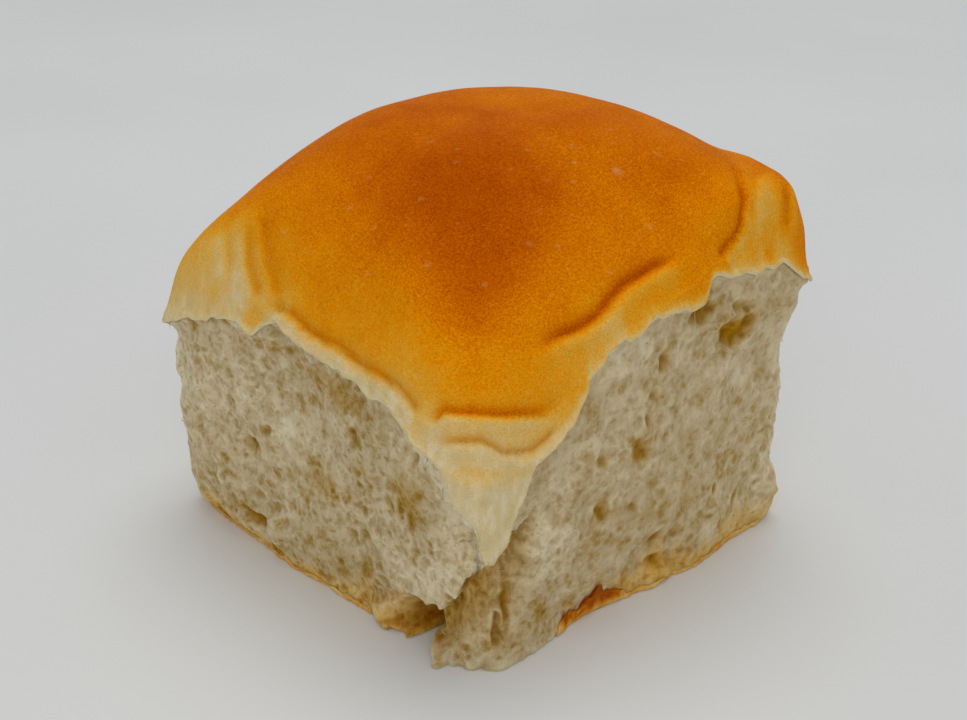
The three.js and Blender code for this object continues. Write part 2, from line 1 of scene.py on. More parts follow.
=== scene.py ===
"""A soft white bread roll, pulled from the middle of a tray of rolls.

Four pieces stand for the one solid: the crust, a thin baked skin over the dome; the crumb, the torn open
inside that shows on all four sides; the shreds, short wisps that stand out from it; and the base crust, the
browned skin under it. All of them follow the same shape, which is worked out from the sizes below. Sizes
are in millimetres until a mesh is made, and metres from there on.
"""

import math

import bpy
import numpy as np
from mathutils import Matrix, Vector


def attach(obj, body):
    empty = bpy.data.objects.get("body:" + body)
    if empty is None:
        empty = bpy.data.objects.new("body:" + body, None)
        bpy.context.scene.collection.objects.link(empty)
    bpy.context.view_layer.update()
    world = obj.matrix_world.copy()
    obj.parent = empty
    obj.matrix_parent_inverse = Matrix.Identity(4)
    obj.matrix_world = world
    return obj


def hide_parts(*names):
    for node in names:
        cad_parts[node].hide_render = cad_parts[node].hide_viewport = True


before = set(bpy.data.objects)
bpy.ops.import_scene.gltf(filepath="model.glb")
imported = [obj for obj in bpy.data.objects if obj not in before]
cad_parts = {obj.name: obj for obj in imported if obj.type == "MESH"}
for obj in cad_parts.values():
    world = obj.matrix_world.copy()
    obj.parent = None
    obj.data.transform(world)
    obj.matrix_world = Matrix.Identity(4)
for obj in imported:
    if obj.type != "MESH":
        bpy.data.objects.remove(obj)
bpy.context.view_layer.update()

MM = 0.001
FULL_TURN = 2 * math.pi
NODE = "bread_roll"

# ---------------------------------------------------------------- the roll's shape (mm)

CROWN_HEIGHT = 60.8
BASE_HALF = 30.0
SIDE_LENGTH = 2 * BASE_HALF
GIRTH = 4 * SIDE_LENGTH  # once round the roll, along its sides

# Values that change round the roll are given for eight directions and eased between them:
# +X, +X+Y corner, +Y, +Y-X corner, -X, -X-Y corner, -Y, -Y+X corner.
RIM_HALF = [30.8, 32.2, 31.2, 31.5, 31.0, 33.8, 31.0, 30.4]
WAIST = [0.1, 0.6, 0.0, 0.3, 0.2, 2.9, 0.2, -1.0]
FULLNESS = [3.1, 5.7, 4.9, 4.7, 4.0, 4.0, 3.1, 3.6]
DOME_OFF_CENTRE = (1.0, -1.1)
RIM_SQUARENESS = [18, 18, 18, 18, 18, 18, 18, 11]
ROUND_MIDDLE = 8
BASE_SQUARENESS = 9
SHARE_PASSES = 8

CORNER_SKIRTS = [
    {"angle": FULL_TURN / 8, "spread": 0.75, "height": 56.5, "inward_drop": 14, "sharpness": 20},
    {"angle": FULL_TURN * 5 / 8, "spread": 0.75, "height": 44.8, "inward_drop": -6.5, "sharpness": 14},
]
SKIRT_BLEND = 3.0
SKIRT_SINK = 6.0
RIM_TURN = {"start": 0.9, "sharpness": 6}

# Height of the shoulder, where the crown's curve ends and its skin hangs straight down, along each side:
# (place along the side, height).
SHOULDER_HEIGHTS = [
    # +X side, place = y
    [(-30, 28.5), (-22, 29), (-16, 31.5), (-12, 36), (-8, 39.8), (0, 42.6), (6, 44.2), (9, 46.2),
     (12, 46.2), (18, 44.6), (22, 43.4), (26, 41.4), (30, 39.6)],
    # +Y side, place = -x
    [(-30, 39.6), (-24, 39.5), (-10, 41), (5, 41), (18, 38.5), (30, 35.8)],
    # -X side, place = -y
    [(-30, 35.8), (-20, 37.5), (-5, 39.5), (10, 37), (22, 32.5), (30, 30.5)],
    # -Y side, place = x
    [(-30, 30.5), (-26, 32.2), (-20, 34.4), (-14, 36), (-8, 37), (-4.5, 38.8), (-2, 37.7), (2, 37.2),
     (8, 36.5), (14, 35.7), (17, 34.8), (20, 32.8), (24, 30.6), (30, 28.5)],
]

# Height of the skin's torn rim along each side. It hangs as a tongue near the -Y+X corner, and as a lip at
# y 8.
RIM_HEIGHTS = [
    [(-30, 24.2), (-29.2, 23.8), (-28.6, 22.4), (-28.3, 20.2), (-27.8, 18.4), (-26.7, 17.1), (-25.9, 16.8),
     (-25.4, 17.6), (-23.8, 18.5), (-23.4, 19.4), (-22.9, 21.7), (-22.3, 22.9), (-21.1, 25.9),
     (-19.6, 28.3), (-17.8, 29.2), (-15.5, 30.2), (-13.4, 31.6), (-12.4, 33.7), (-11.2, 35.2), (-10.4, 37),
     (-9.2, 37.9), (-7.1, 39.1), (-4.8, 39.9), (-2.8, 39.9), (-1.1, 41.1), (0.6, 41.6), (3, 41.8),
     (6.7, 41.4), (7.9, 41.9), (8.3, 42.8), (8.6, 44.6), (9.6, 45.1), (12, 44.4), (13.4, 43.8),
     (19.3, 43.2), (21.5, 42.6), (23.3, 41.5), (24.6, 40.2), (26, 39.2), (30, 38)],
    [(-30, 38), (-24, 38.5), (-10, 40), (5, 40), (18, 37.5), (30, 35)],
    [(-30, 35), (-20, 36.5), (-5, 38.5), (10, 36), (22, 31.5), (30, 29.5)],
    [(-30, 29.5), (-26, 31), (-22.2, 32.4), (-20, 33.3), (-16.9, 34.6), (-12, 35.3), (-9, 35.3),
     (-7.9, 36.1), (-5.1, 38.2), (-4.3, 38.3), (-2.6, 36.9), (-1.7, 36.4), (3.1, 36.1), (7.1, 35.6),
     (8.1, 35.2), (15.1, 34.7), (16.6, 34.1), (17.9, 33.1), (20.6, 31.3), (22.8, 30.5), (25.4, 29.2),
     (26.8, 27.8), (27.4, 26.3), (28.7, 25.4), (30, 24.2)],
]

# Folds pressed into the crust. The crust sinks by depth over width, and stands up by ridge at gap outside
# it. The valley is darkened by bake, painted shade added to the browning there; browning falls by stop
# outside the fold, and the fold fades out over ends, as shares of its length. The points (x, y) lie on
# the crown, in the order that has the rim on their right.
FOLD_SIZES = ("depth", "width", "ridge", "gap", "stop", "bake", "ends", "points")
FOLDS = [dict(zip(FOLD_SIZES, fold)) for fold in [
    # step over the near corner
    (0.7, 0.5, 0.3, 0.9, 0.5, 0.19, (0.14, 0.3), [
        (21.1, -29.4), (23.0, -28.7), (23.5, -28.0), (25.1, -26.7), (26.2, -25.4), (27.3, -24.0),
        (28.1, -22.3), (28.6, -20.5), (29.4, -17.1), (29.6, -14.9), (29.8, -12.7)]),
    # pleat in the corner tongue
    (0.6, 0.38, 0.45, 1.0, 0.3, 0.05, (0.2, 0.1), [
        (23.3, -29.5), (24.9, -28.8), (26.3, -27.7), (27.7, -25.9), (28.6, -24.8), (29.3, -23.7),
        (29.8, -21.5), (30.3, -19.5), (30.4, -17.2), (30.4, -15.6)]),
    # foot of the dome, +X side
    (0.8, 0.6, 0.45, 1.2, 0.2, 0.26, (0.25, 0.2), [
        (26.5, -18.6), (26.8, -15.7), (27.3, -12.9), (28.1, -10.4), (28.7, -7.7), (28.4, -5.4),
        (28.2, -3.0), (28.4, -0.6), (28.6, 1.9), (29.0, 4.5), (29.7, 7.0)]),
    # foot of the dome, -Y side
    (0.55, 0.5, 0.35, 0.9, 0.7, 0.1, (0.15, 0.1), [
        (-9.3, -31.0), (-6.5, -30.9), (-3.5, -30.6), (0.5, -30.4), (5.3, -30.0), (9.4, -30.0),
        (13.1, -29.8), (16.8, -29.6), (19.4, -29.5), (21.1, -29.4)]),
    # crease round the folded corner
    (0.55, 0.5, 0.2, 0.9, 0.3, 0.2, (0.04, 0.3), [
        (31.2, 11.2), (31.0, 12.9), (30.9, 14.3), (30.7, 15.4), (30.4, 15.9), (29.8, 17.2), (28.7, 17.8),
        (25.4, 20.3), (21.0, 23.7)]),
    # second crease on that corner
    (0.25, 0.9, 0.2, 1.4, 0.15, 0.06, (0.3, 0.3), [
        (30.8, 16.3), (30.5, 17.8), (29.8, 18.4), (27.8, 20.6), (25.1, 26.1)]),
    # outer layer of that corner
    (0.25, 0.7, 0.2, 1.2, 0.1, 0.06, (0.3, 0.3), [
        (31.5, 23.9), (31.0, 24.9), (30.1, 25.6), (28.4, 25.8)]),
    # wrinkle down the -X-Y skirt
    (0.25, 1.2, 0.15, 2.2, 0.1, 0.06, (0.3, 0.2), [
        (-15.3, -25.0), (-14.0, -27.1), (-12.6, -28.1), (-9.9, -29.3), (-7.4, -30.1), (-4.7, -30.5)]),
    # second wrinkle down the skirt
    (0.35, 1.1, 0.2, 2.2, 0.25, 0.1, (0.3, 0.2), [
        (-16.9, -26.6), (-15.8, -28.4), (-14.2, -29.7), (-12.6, -30.4), (-10.8, -30.8), (-9.3, -31.0)]),
    # third wrinkle down the skirt
    (0.2, 1.1, 0.15, 2.2, 0.1, 0.05, (0.3, 0.3), [
        (-19.8, -28.2), (-18.5, -29.9), (-17.3, -30.8), (-15.6, -31.6)]),
    # crease behind the -X side
    (0.7, 0.9, 0.35, 1.6, 0.3, 0.12, (0.3, 0.35), [
        (-25.6, 22.0), (-27.4, 16.0), (-28.6, 9.0), (-28.9, 2.0), (-28.4, -4.0), (-26.8, -9.0)]),
    # crease behind the +Y side
    (0.45, 1.1, 0.2, 1.8, 0.2, 0.06, (0.35, 0.35), [
        (17.0, 27.6), (11.0, 28.6), (5.0, 28.9), (0.0, 28.2)]),
]]
FOLD_ROUND_SIDE = 2.0  # the crust rolls softly into a fold from the dome's side
FOLD_SHARP_SIDE = 0.8  # and comes out of it sharply on the rim's side
LIP_LENGTH = 1.1  # the ridge outside a fold dies away over this many gaps
FOLD_STEP = 1.6  # distance outside a fold over which its browning ends
FOLD_STEPS = 4  # and it is back as it was beyond this many of those distances

TORN_WAVES = [(11.0, 0.9), (4.6, 0.65)]  # (length, height)
RIM_RAGGED = [(3.1, 0.55), (1.1, 0.4), (0.6, 0.2)]
RIM_BELOW_SHOULDER = 0.4
# The skin leans out by this slope at the shoulder, and hangs straight after this drop.
SHOULDER_BEND = (0.26, 3.0)
CROWN_WAVES = (14.0, 0.35)
LIP_UNDERCUT = (0.5, 1.7)  # groove under the torn rim: (depth, height)
TONGUE_CLINGS = (0.85, 14.0)  # it is shallower round the near corner: (share less, reach along the girth)
WAIST_START = 0.08
WAIST_AT_FOOT = 0.65
FLARE = 9
WAVE_STRETCH = 0.8
RIM_GRIP = 0.8
CORNER_TURN = 5

# Hollows torn out of the walls, and lumps (negative depth) left on them:
# (side, place along it, height, half width, half height, depth, share of the radius that slopes).
# Sides: 0 +X, 1 +Y, 2 -X, 3 -Y.
MARK_WARPS = [(2.4, 0.9), (1.1, 0.4)]  # waves that pull their outlines out of round: (length, distance)
HOLLOW_FULL = 0.7  # a hollow this deep gets the full painted golden shade
HOLLOW_BROAD = 5.5  # and narrow ones get less of the painted shade than those this wide and tall together
TORN_MARKS = [
    # -Y side
    (3, 19.4, 3.4, 4.2, 4.4, 5.5, 0.55),  # gap under the crumb by the foot
    (3, 20.8, 0.0, 2.2, 3.6, 4.5, 0.6),  # the same gap at the floor
    (3, 13.4, 1.6, 4.0, 3.4, -1.8, 0.8),  # ragged crumb left on the base crust
    (3, 20.3, 28.4, 1.1, 1.3, 0.8, 0.9),
    (3, 10.8, 30.8, 1.2, 1.1, 0.7, 0.9),
    (3, 8.9, 26.3, 1.2, 2.0, 0.8, 1.0),
    (3, -9.4, 20.3, 1.5, 1.6, 0.9, 1.0),
    (3, -12.6, 16.4, 2.2, 1.6, 0.9, 1.0),
    (3, 18.5, 21.8, 5.0, 4.6, 0.35, 1.0),
    (3, 1.9, 17.2, 5.0, 4.0, 0.25, 1.0),
    (3, 17.9, 0.8, 1.5, 1.6, -1.6, 0.9),  # pointed lump by the gap
    (3, 23.8, 0.8, 1.5, 1.4, -1.5, 0.9),  # tip of the foot
    (3, -13.0, 4.9, 3.4, 2.0, 1.1, 0.9),  # recess beside the crumb flap
    (3, -18.1, 9.0, 2.2, 2.2, -0.7, 1.0),
    (3, -8.2, 5.0, 3.0, 3.4, -1.2, 0.6),  # crumb flap over the base
    (3, -7.0, 34.6, 1.8, 1.8, -0.8, 0.8),
    (3, 5.0, 31.5, 9.0, 3.0, 0.3, 1.0),  # hollow under the rim
    # +X side
    (0, 16.2, 34.6, 4.4, 3.2, 1.3, 0.9),  # deep hollow under a shelf
    (0, 16.6, 38.6, 1.5, 1.8, 0.9, 0.9),
    (0, 13.4, 37.0, 3.2, 1.4, -0.9, 0.9),  # the shelf
    (0, 9.2, 39.6, 2.4, 2.4, 1.0, 0.9),
    (0, 9.9, 42.4, 1.2, 1.4, 1.0, 0.9),
    (0, 3.0, 34.3, 1.7, 2.2, 0.8, 0.9),
    (0, 1.4, 29.7, 1.1, 1.9, 0.6, 1.0),
    (0, 0.3, 26.6, 1.0, 1.6, 0.6, 1.0),
    (0, -1.1, 22.9, 2.2, 2.6, 0.7, 1.0),
    (0, -7.7, 23.9, 1.5, 2.2, 0.7, 1.0),
    (0, -7.0, 16.0, 2.0, 2.6, 0.7, 1.0),
    (0, -1.8, 14.6, 1.4, 1.6, 0.6, 1.0),
    (0, 3.4, 7.7, 1.8, 2.0, 0.7, 1.0),
    (0, 2.8, 4.1, 2.4, 2.0, 0.7, 0.9),
    (0, -5.4, 36.0, 4.0, 1.6, -0.7, 0.9),  # ragged crumb under the rim
    (0, 3.8, 1.2, 3.4, 2.6, -1.1, 0.7),  # crumb stuck to the base
    (0, -23.5, 8.2, 1.6, 3.8, 1.1, 1.0),
    (0, -25.3, 5.6, 1.6, 1.9, 1.5, 0.9),
    (0, 29.5, 3.0, 7.0, 9.0, -1.9, 1.0),  # the +X+Y corner spreads at its foot
    # sides at the back
    (1, -13, 27, 3.6, 4.8, 0.6, 1.0),
    (1, -4, 33, 1.2, 1.6, 0.8, 0.9),
    (1, 5, 13, 5.0, 3.2, 0.4, 1.0),
    (1, 17, 29, 1.6, 2.4, 0.9, 0.9),
    (1, 20, 6, 4.0, 3.4, -1.1, 0.8),
    (1, -21, 9, 1.2, 1.4, 0.7, 1.0),
    (2, -19, 26, 1.5, 2.2, 0.8, 0.9),
    (2, -5, 8, 5.0, 3.4, 0.4, 1.0),
    (2, 4, 19, 1.1, 1.3, 0.7, 1.0),
    (2, 11, 27, 3.4, 4.0, 0.5, 1.0),
    (2, 18, 12, 3.2, 3.0, -1.0, 0.8),
]

# The torn flap over the near corner: its lower edge (place round the girth, height), and the hollow under
# it. The girth starts at the -Y end of the +X side; the -Y side runs from 180 to 240, and goes on into the
# +X side.
FLAP_EDGE = [(226, 5.0), (229.8, 7.4), (234.9, 8.0), (237.4, 10.8), (239.1, 13.2), (244, 16.4),
             (246.6, 18.0), (252, 22.0)]
FLAP_RAGGED = [(1.3, 0.5, 61), (0.6, 0.35, 62)]  # (length, size, seed)
FLAP_WRAP = 90  # places before this one are counted as past the end of the girth
# golden is the painted shade in the hollow under the flap
FLAP = {"depth": 2.8, "lip": 0.8, "taper": 3.0, "foot_top": 3.6, "foot_slope": 3.0, "level": 1.0,
        "fade": 12.0, "golden": 0.7}

# Height of the browned skin that turns up from the base, and of the golden crumb over it, along each side.
BASE_RISE = [
    [(-30, 0.0), (-14.8, 0.0), (-13.9, 1.4), (-12, 2.4), (-9, 3.2), (-5, 3.3), (-3, 2.6), (-1.5, 0.8),
     (6, 0.6), (20, 0.8), (30, 1.1)],
    [(-30, 1.1), (-10, 0.8), (5, 1.1), (18, 0.8), (30, 0.9)],
    [(-30, 0.9), (-12, 0.8), (0, 1.1), (15, 0.8), (30, 0.9)],
    [(-30, 0.9), (-20, 0.8), (0, 0.65), (9, 0.6), (11, 0.0), (30, 0.0)],
]
TOAST_RISE = [
    [(-30, 0), (-15.5, 0), (-12, 3.6), (-2, 4.6), (2, 4.6), (12, 3.8), (22, 4.4), (30, 5.0)],
    [(-30, 5.0), (-12, 3.0), (5, 3.6), (20, 2.6), (30, 3.0)],
    [(-30, 3.0), (-10, 2.2), (6, 3.4), (20, 2.4), (30, 2.6)],
    [(-30, 3.4), (-18, 3.2), (-9, 2.2), (6, 2.6), (9, 5.2), (17, 6.4), (20, 5.0), (22, 0), (30, 0)],
]
RISE_RAGGED = [(2.6, 0.3), (0.9, 0.28), (0.45, 0.15)]  # (length, share of the rise)

# ---------------------------------------------------------------- the open crumb (mm)

# Cells in the torn face, thin soft walls round open hollows. "wall" is the walls' thickness as a share of
# the spacing, "closed" the share of the cells that a film of crumb covers, and "shade" how much painted
# shade darkens a cell.
CELL_LAYERS = [
    {"spacing": 2.7, "depth": 0.20, "wall": 0.42, "closed": 0.45, "shade": 0.55, "seed": 11},
    {"spacing": 1.5, "depth": 0.10, "wall": 0.40, "closed": 0.40, "shade": 0.45, "seed": 12},
    {"spacing": 0.85, "depth": 0.04, "wall": 0.36, "closed": 0.3, "shade": 0.15, "seed": 13},
]
CELL_WARPS = [(2.3, 0.75), (0.9, 0.30)]  # cells are pulled out of round: (wave length, distance)
CELL_OPENING = 0.3  # how gradually cells go from closed to open
CELL_TALL = 1.1  # cells stand a little taller than wide
LACY = [0.66, 0.72, 0.8, 0.8, 0.8, 0.9, 0.96, 0.9]  # how open the cells are, for the eight directions
OPEN_PATCHES = (7.5, 0.88)  # patches where the crumb is more open or more closed: (length, strength)
OPEN_RANGE = (0.15, 1.8)  # the least and the most that they leave of a cell's depth
STRANDS = [(1.5, 0.05), (0.6, 0.03)]  # torn strands: (length, height)
CORNER_TEARS_FROM = 0.86  # share of the way to a corner from which the crumb is torn more raggedly
CORNER_TEARS = [(2.2, 0.45), (0.9, 0.25)]  # (length, size)
FOOT_TEARS = {"length": 0.9, "size": 0.35, "up_to": 1.3}  # and also where it meets the table
CRUMB_SEAT = 0.12  # brings the torn face back out by the mean depth of its cells
CRUMB_SAG = (0.9, 0.12)  # cells sag and slide a little: (length, distance)
VEIL = {"place": -1.0, "along": 11.0, "down": 7.0}  # a pale film of crumb hangs beside the tongue
# More pale films, and patches that are more open (negative strength): (place round the girth, height, half
# length, half height, strength).
FILM_PATCHES = [
    (24.6, 36.6, 7.0, 1.8, 1.0), (181.0, 20.0, 4.5, 16.0, 1.0), (60.0, 22.0, 3.5, 18.0, 0.9),
    (231.0, 10.5, 5.0, 3.0, 0.8), (207.0, 22.0, 6.0, 4.0, 0.7), (214.0, 12.0, 5.0, 3.0, 0.2),
    (193.0, 10.5, 5.0, 3.5, 0.3), (46.0, 30.0, 6.0, 3.0, 0.5), (237.0, 18.0, 4.0, 6.0, 0.8),
    (3.0, 16.0, 3.0, 4.0, 0.7), (18.0, 25.0, 5.0, 5.0, 0.3), (190.0, 22.0, 6.0, 6.0, 0.8),
    (12.0, 16.0, 5.0, 4.0, 0.7), (199.0, 27.5, 4.5, 3.5, 0.6), (214.8, 26.5, 4.0, 3.0, 0.3),
    (15.0, 13.0, 4.0, 3.0, 0.5), (49.0, 20.0, 4.0, 4.0, 0.4), (229.0, 19.8, 3.5, 3.0, -0.5),
    (25.0, 11.5, 6.0, 4.0, -0.5), (11.0, 5.6, 5.0, 3.0, -0.8), (216.0, 5.5, 6.0, 3.0, -0.4),
    (196.0, 7.3, 4.0, 4.0, -0.4), (41.0, 17.0, 6.0, 5.0, -0.4), (225.0, 32.0, 3.0, 3.0, -0.5),
    (10.0, 29.0, 3.0, 4.0, -0.5), (194.0, 13.0, 5.0, 3.0, -0.3),
]
CAVITY_REACH = 1.3  # a hollow counts as deep against the surface this far round it
CAVITY_FULL = 0.25  # depth below that surface that counts as fully in the dark
TOAST_FADE = {"least": 0.3, "from": 0.4}  # the golden foot's least height, and the share at which it fades
RIM_REACH = 5.0  # the crumb counts as being near the torn rim this far below it

# ---------------------------------------------------------------- mesh fineness

CRUST_STEPS = 180  # squares along one side of the crust's grid
CRUST_THICKNESS = 0.9
RIM_THICKNESS = 0.3
RIM_CROWDING = 0.3
RIM_FADE = {"start": 0.15, "over": 0.9}  # above the torn rim the relief comes in over this distance
APRON_ROWS = 12  # rows of the mesh between the shoulder and the torn rim
SHOULDER_TURN = 0.93  # from this share of the reach on, relief turns from upwards to outwards
WALL_COLUMNS = {0: 240, 1: 140, 2: 140, 3: 240}  # mesh columns on each side
WALL_ROWS = 125
WALL_START = 0.004  # height of the lowest row, as a share of the wall's
CAP_RINGS = 5
CAP_HALVINGS = 2  # rings of the hidden top and bottom that have half as many points as the one before
CAP_DEPTH = 2.2  # the crumb's hidden top lies this far under the crust
CAP_SINK_RINGS = 3  # and gets there over this many rings
CAP_UV = {"row": 0.012, "length": 0.3, "hub": (0.4, 0.06), "hub_radius": 0.05}

# Where the crumb slips under the crust and behind the base crust, and how much of its relief it loses
# there.
CRUMB_TUCK = {"above": 0.8, "start": 0.1, "depth": 0.7, "smoother": 0.7}
BASE_TUCK = {"height": 0.25, "depth": 0.05, "smoother": 0.6}

BASE_COLUMNS = 280  # on each side of the base crust
BASE_PLATE = 0.3
BASE_TUCKED = {"under": 0.1, "blend": 0.25, "depth": 1.2}  # it draws back where it rises less than this
BASE_SHARES = [0.93, 0.85, 0.7, 0.5, 0.3, 0.12]  # rings of the base plate, as shares of its half width
BASE_LEAST = 0.25  # the base crust is at least this tall
BASE_FACING = 0.5  # it leans out the way that the wall faces at this height
BASE_FLAP = {"from": 1.2, "over": 1.5, "lean": 0.5}  # the tall part that has come loose from the crumb
BASE_RAGGED = (1.5, 0.6)  # (length, share of its thickness)
BASE_ROUGH = (0.8, 0.14)  # (length, height)
BASE_BAKE = {"plate": 0.5, "edge": 0.25, "flap": 0.85, "rise": 2.2, "from": 0.35}  # how brown it is
# Section of its edge, from below and inside, over the top and back in: (share of the rise, distance
# outwards).
BASE_EDGE = [(0.0, -0.7), (0.0, -0.1), (0.1, 0.14), (0.25, 0.22), (0.4, 0.24), (0.55, 0.24), (0.7, 0.22),
             (0.85, 0.2), (1.0, 0.14), (1.0, 0.0), (0.8, -0.2), (0.5, -0.35)]
BASE_LOWEST = 0.02  # the wall that it follows is taken no lower than this


# ---------------------------------------------------------------- number helpers

def mix(a, b, share):
    return a + (b - a) * share


def ease(value):
    t = np.clip(value, 0, 1)
    return t * t * (3 - 2 * t)


def lattice_value(i, j, k, seed=0):
    """A repeatable random number from -1 to 1 for each point of the integer lattice."""
    parts = [np.asarray(n).astype(np.int64).astype(np.uint32) for n in (i, j, k)]
    h = parts[0] * np.uint32(374761393) + parts[1] * np.uint32(668265263) + parts[2] * np.uint32(2147483647)
    h = h + np.uint32(seed * 40503)
    h = (h ^ (h >> np.uint32(13))) * np.uint32(1274126177)
    h = h ^ (h >> np.uint32(16))
    return h.astype(float) / 2147483647.5 - 1


def waves(x, y, z, length, seed=0):
    """Smooth random waves, about one length long, from -1 to 1."""
    p = [np.asarray(n, float) / length for n in (x, y, z)]
    base = [np.floor(n) for n in p]
    u, v, w = (ease(n - b) for n, b in zip(p, base))
    i, j, k = base

    def row(dj, dk):
        return mix(lattice_value(i, j + dj, k + dk, seed), lattice_value(i + 1, j + dj, k + dk, seed), u)

    return mix(mix(row(0, 0), row(1, 0), v), mix(row(0, 1), row(1, 1), v), w)


def layered(x, y, z, layers, seed=0):
    """Random waves of several lengths, added up: (length, size) for each."""
    return sum(size * waves(x, y, z, length, seed) for length, size in layers)


def bell(distance):
    """1 at no distance, and dying away smoothly beyond 1."""
    return np.exp(-distance ** 2)


def unit(vectors):
    return vectors / np.linalg.norm(vectors, axis=-1, keepdims=True)


def around(angle, values):
    """A value given for the eight directions, at any angle, on a smooth curve through them."""
    values = np.asarray(values, float)
    turn = (np.asarray(angle) / FULL_TURN) % 1 * len(values)
    i = np.floor(turn).astype(int)
    t = turn - i
    before, here, after, beyond = (values[(i + n) % len(values)] for n in (-1, 0, 1, 2))
    return mix(here, after, ease(t)) + t * (1 - t) * ((1 - t) * (after - before) - t * (beyond - here)) / 2


def rounded_max(a, b, blend):
    share = np.clip(0.5 + 0.5 * (a - b) / blend, 0, 1)
    return mix(b, a, share) + blend * share * (1 - share)


# ---------------------------------------------------------------- outline and crown

def side_at(angle):
    """Which side an angle looks at, and how far along it, from -1 to 1."""
    side = np.round(np.asarray(angle) / (FULL_TURN / 4)).astype(int)
    return side % 4, np.tan(angle - side * FULL_TURN / 4)


def from_tables(side, place, tables):
    """A value given at places along each side."""
    found = np.zeros_like(place)
    for number, knots in enumerate(tables):
        here = side == number
        found[here] = np.interp(place[here], [p for p, _ in knots], [h for _, h in knots])
    return found


def shoulder_height(angle):
    side, along = side_at(angle)
    return from_tables(side, along * BASE_HALF, SHOULDER_HEIGHTS)


def torn_rim(angle):
    side, along = side_at(angle)
    place = along * BASE_HALF
    x = BASE_HALF * np.cos(angle)
    y = BASE_HALF * np.sin(angle)
    highest = from_tables(side, place, SHOULDER_HEIGHTS) - RIM_BELOW_SHOULDER
    return np.minimum(from_tables(side, place, RIM_HEIGHTS) + layered(x, y, 0 * x, RIM_RAGGED), highest)


def crown_share(x, y, angle):
    """Distance from the middle as a share of the half width, round in the middle and square at the rim."""
    large = np.maximum(np.maximum(np.abs(x), np.abs(y)), 1e-9)
    ratio = np.minimum(np.abs(x), np.abs(y)) / large
    half = around(angle, RIM_HALF)
    squareness = around(angle, RIM_SQUARENESS)
    share = large / half
    for _ in range(SHARE_PASSES):
        power = mix(2, squareness, np.minimum(share, 1) ** ROUND_MIDDLE)
        share = mix(share, large * (1 + ratio ** power) ** (1 / power) / half, 0.5)
    return share


def crown_height(x, y):
    angle = np.arctan2(y, x)
    share = np.minimum(1, crown_share(x, y, angle))
    shift = 1 - share * share
    off_x, off_y = DOME_OFF_CENTRE
    dome_share = np.minimum(1, crown_share(x - off_x * shift, y - off_y * shift, angle))
    rim = shoulder_height(angle)
    dome = CROWN_HEIGHT - (CROWN_HEIGHT - rim) * dome_share ** around(angle, FULLNESS)
    height = dome
    for skirt in CORNER_SKIRTS:
        edge_cos = math.cos(skirt["spread"])
        weight = ease((np.cos(angle - skirt["angle"]) - edge_cos) / (1 - edge_cos))
        top = skirt["height"] - skirt["inward_drop"] * (1 - share)
        raised = rim + (top - rim) * (1 - share ** skirt["sharpness"])
        height = rounded_max(height, mix(dome - SKIRT_SINK, raised, weight), SKIRT_BLEND)
    edge = np.clip((share - RIM_TURN["start"]) / (1 - RIM_TURN["start"]), 0, 1) ** RIM_TURN["sharpness"]
    return mix(height, rim, edge)


def crown_normal(x, y):
    d = 0.05
    slope_x = (crown_height(x + d, y) - crown_height(x - d, y)) / (2 * d)
    slope_y = (crown_height(x, y + d) - crown_height(x, y - d)) / (2 * d)
    return unit(np.stack([-slope_x, -slope_y, np.ones_like(slope_x)], -1))


def fold_profile(points, fold):
    """Share of the way into the fold's valley, up its ridge and past it, for each point of the crown."""
    line_x = np.array([p[0] for p in fold["points"]])
    line_y = np.array([p[1] for p in fold["points"]])
    line = np.stack([line_x, line_y, crown_height(line_x, line_y)], -1)
    best = np.full(len(points), np.inf)
    signed = np.full(len(points), np.inf)
    share = np.zeros(len(points))
    for i in range(len(line) - 1):
        step = line[i + 1] - line[i]
        t = np.clip(((points - line[i]) @ step) / (step @ step), 0, 1)
        offset = points - (line[i] + t[:, None] * step)
        distance = np.linalg.norm(offset, axis=1)
        outside = step[0] * offset[:, 1] < step[1] * offset[:, 0]
        nearer = distance < best
        best = np.where(nearer, distance, best)
        signed = np.where(nearer, np.where(outside, distance, -distance), signed)
        share = np.where(nearer, (i + t) / (len(line) - 1), share)
    first, last = fold["ends"]
    fade = ease(share / first) * ease((1 - share) / last)
    width = fold["width"] * np.where(signed > 0, FOLD_SHARP_SIDE, FOLD_ROUND_SIDE)
    valley = fade * bell(signed / width)
    beyond = np.maximum(signed - fold["gap"], 0) / (LIP_LENGTH * fold["gap"])
    ridge = fade * ease(signed / fold["gap"]) * bell(beyond)
    past = fade * ease(signed / FOLD_STEP) * (signed < FOLD_STEPS * FOLD_STEP)
    return valley, ridge, past


# ---------------------------------------------------------------- the torn wall

def wall_frame(angle, up):
    """The smooth wall before it is torn: points, outward directions, place on the girth, rim and height."""
    side, along = side_at(angle)
    rim = torn_rim(angle)
    height = up * rim
    up = np.minimum(up, 1)
    waist = around(angle, WAIST) * mix(WAIST_AT_FOOT, 1, ease(up / WAIST_START))
    lean = mix(waist, around(angle, RIM_HALF) - BASE_HALF, up ** FLARE)
    squareness = mix(BASE_SQUARENESS, around(angle, RIM_SQUARENESS), up)
    half = (BASE_HALF + lean) * (1 + np.abs(along) ** squareness) ** (-1 / squareness)
    turn = side * FULL_TURN / 4
    x = half * (np.cos(turn) - along * np.sin(turn))
    y = half * (np.sin(turn) + along * np.cos(turn))
    out_x = np.sign(x) * np.abs(x / BASE_HALF) ** CORNER_TURN
    out_y = np.sign(y) * np.abs(y / BASE_HALF) ** CORNER_TURN
    size = np.hypot(out_x, out_y)
    girth = side * SIDE_LENGTH + (along + 1) * BASE_HALF
    return x, y, out_x / size, out_y / size, girth, rim, height


def girth_gap(a, b):
    """Signed distance from b to a, the shorter way round the roll."""
    return (a - b + GIRTH / 2) % GIRTH - GIRTH / 2


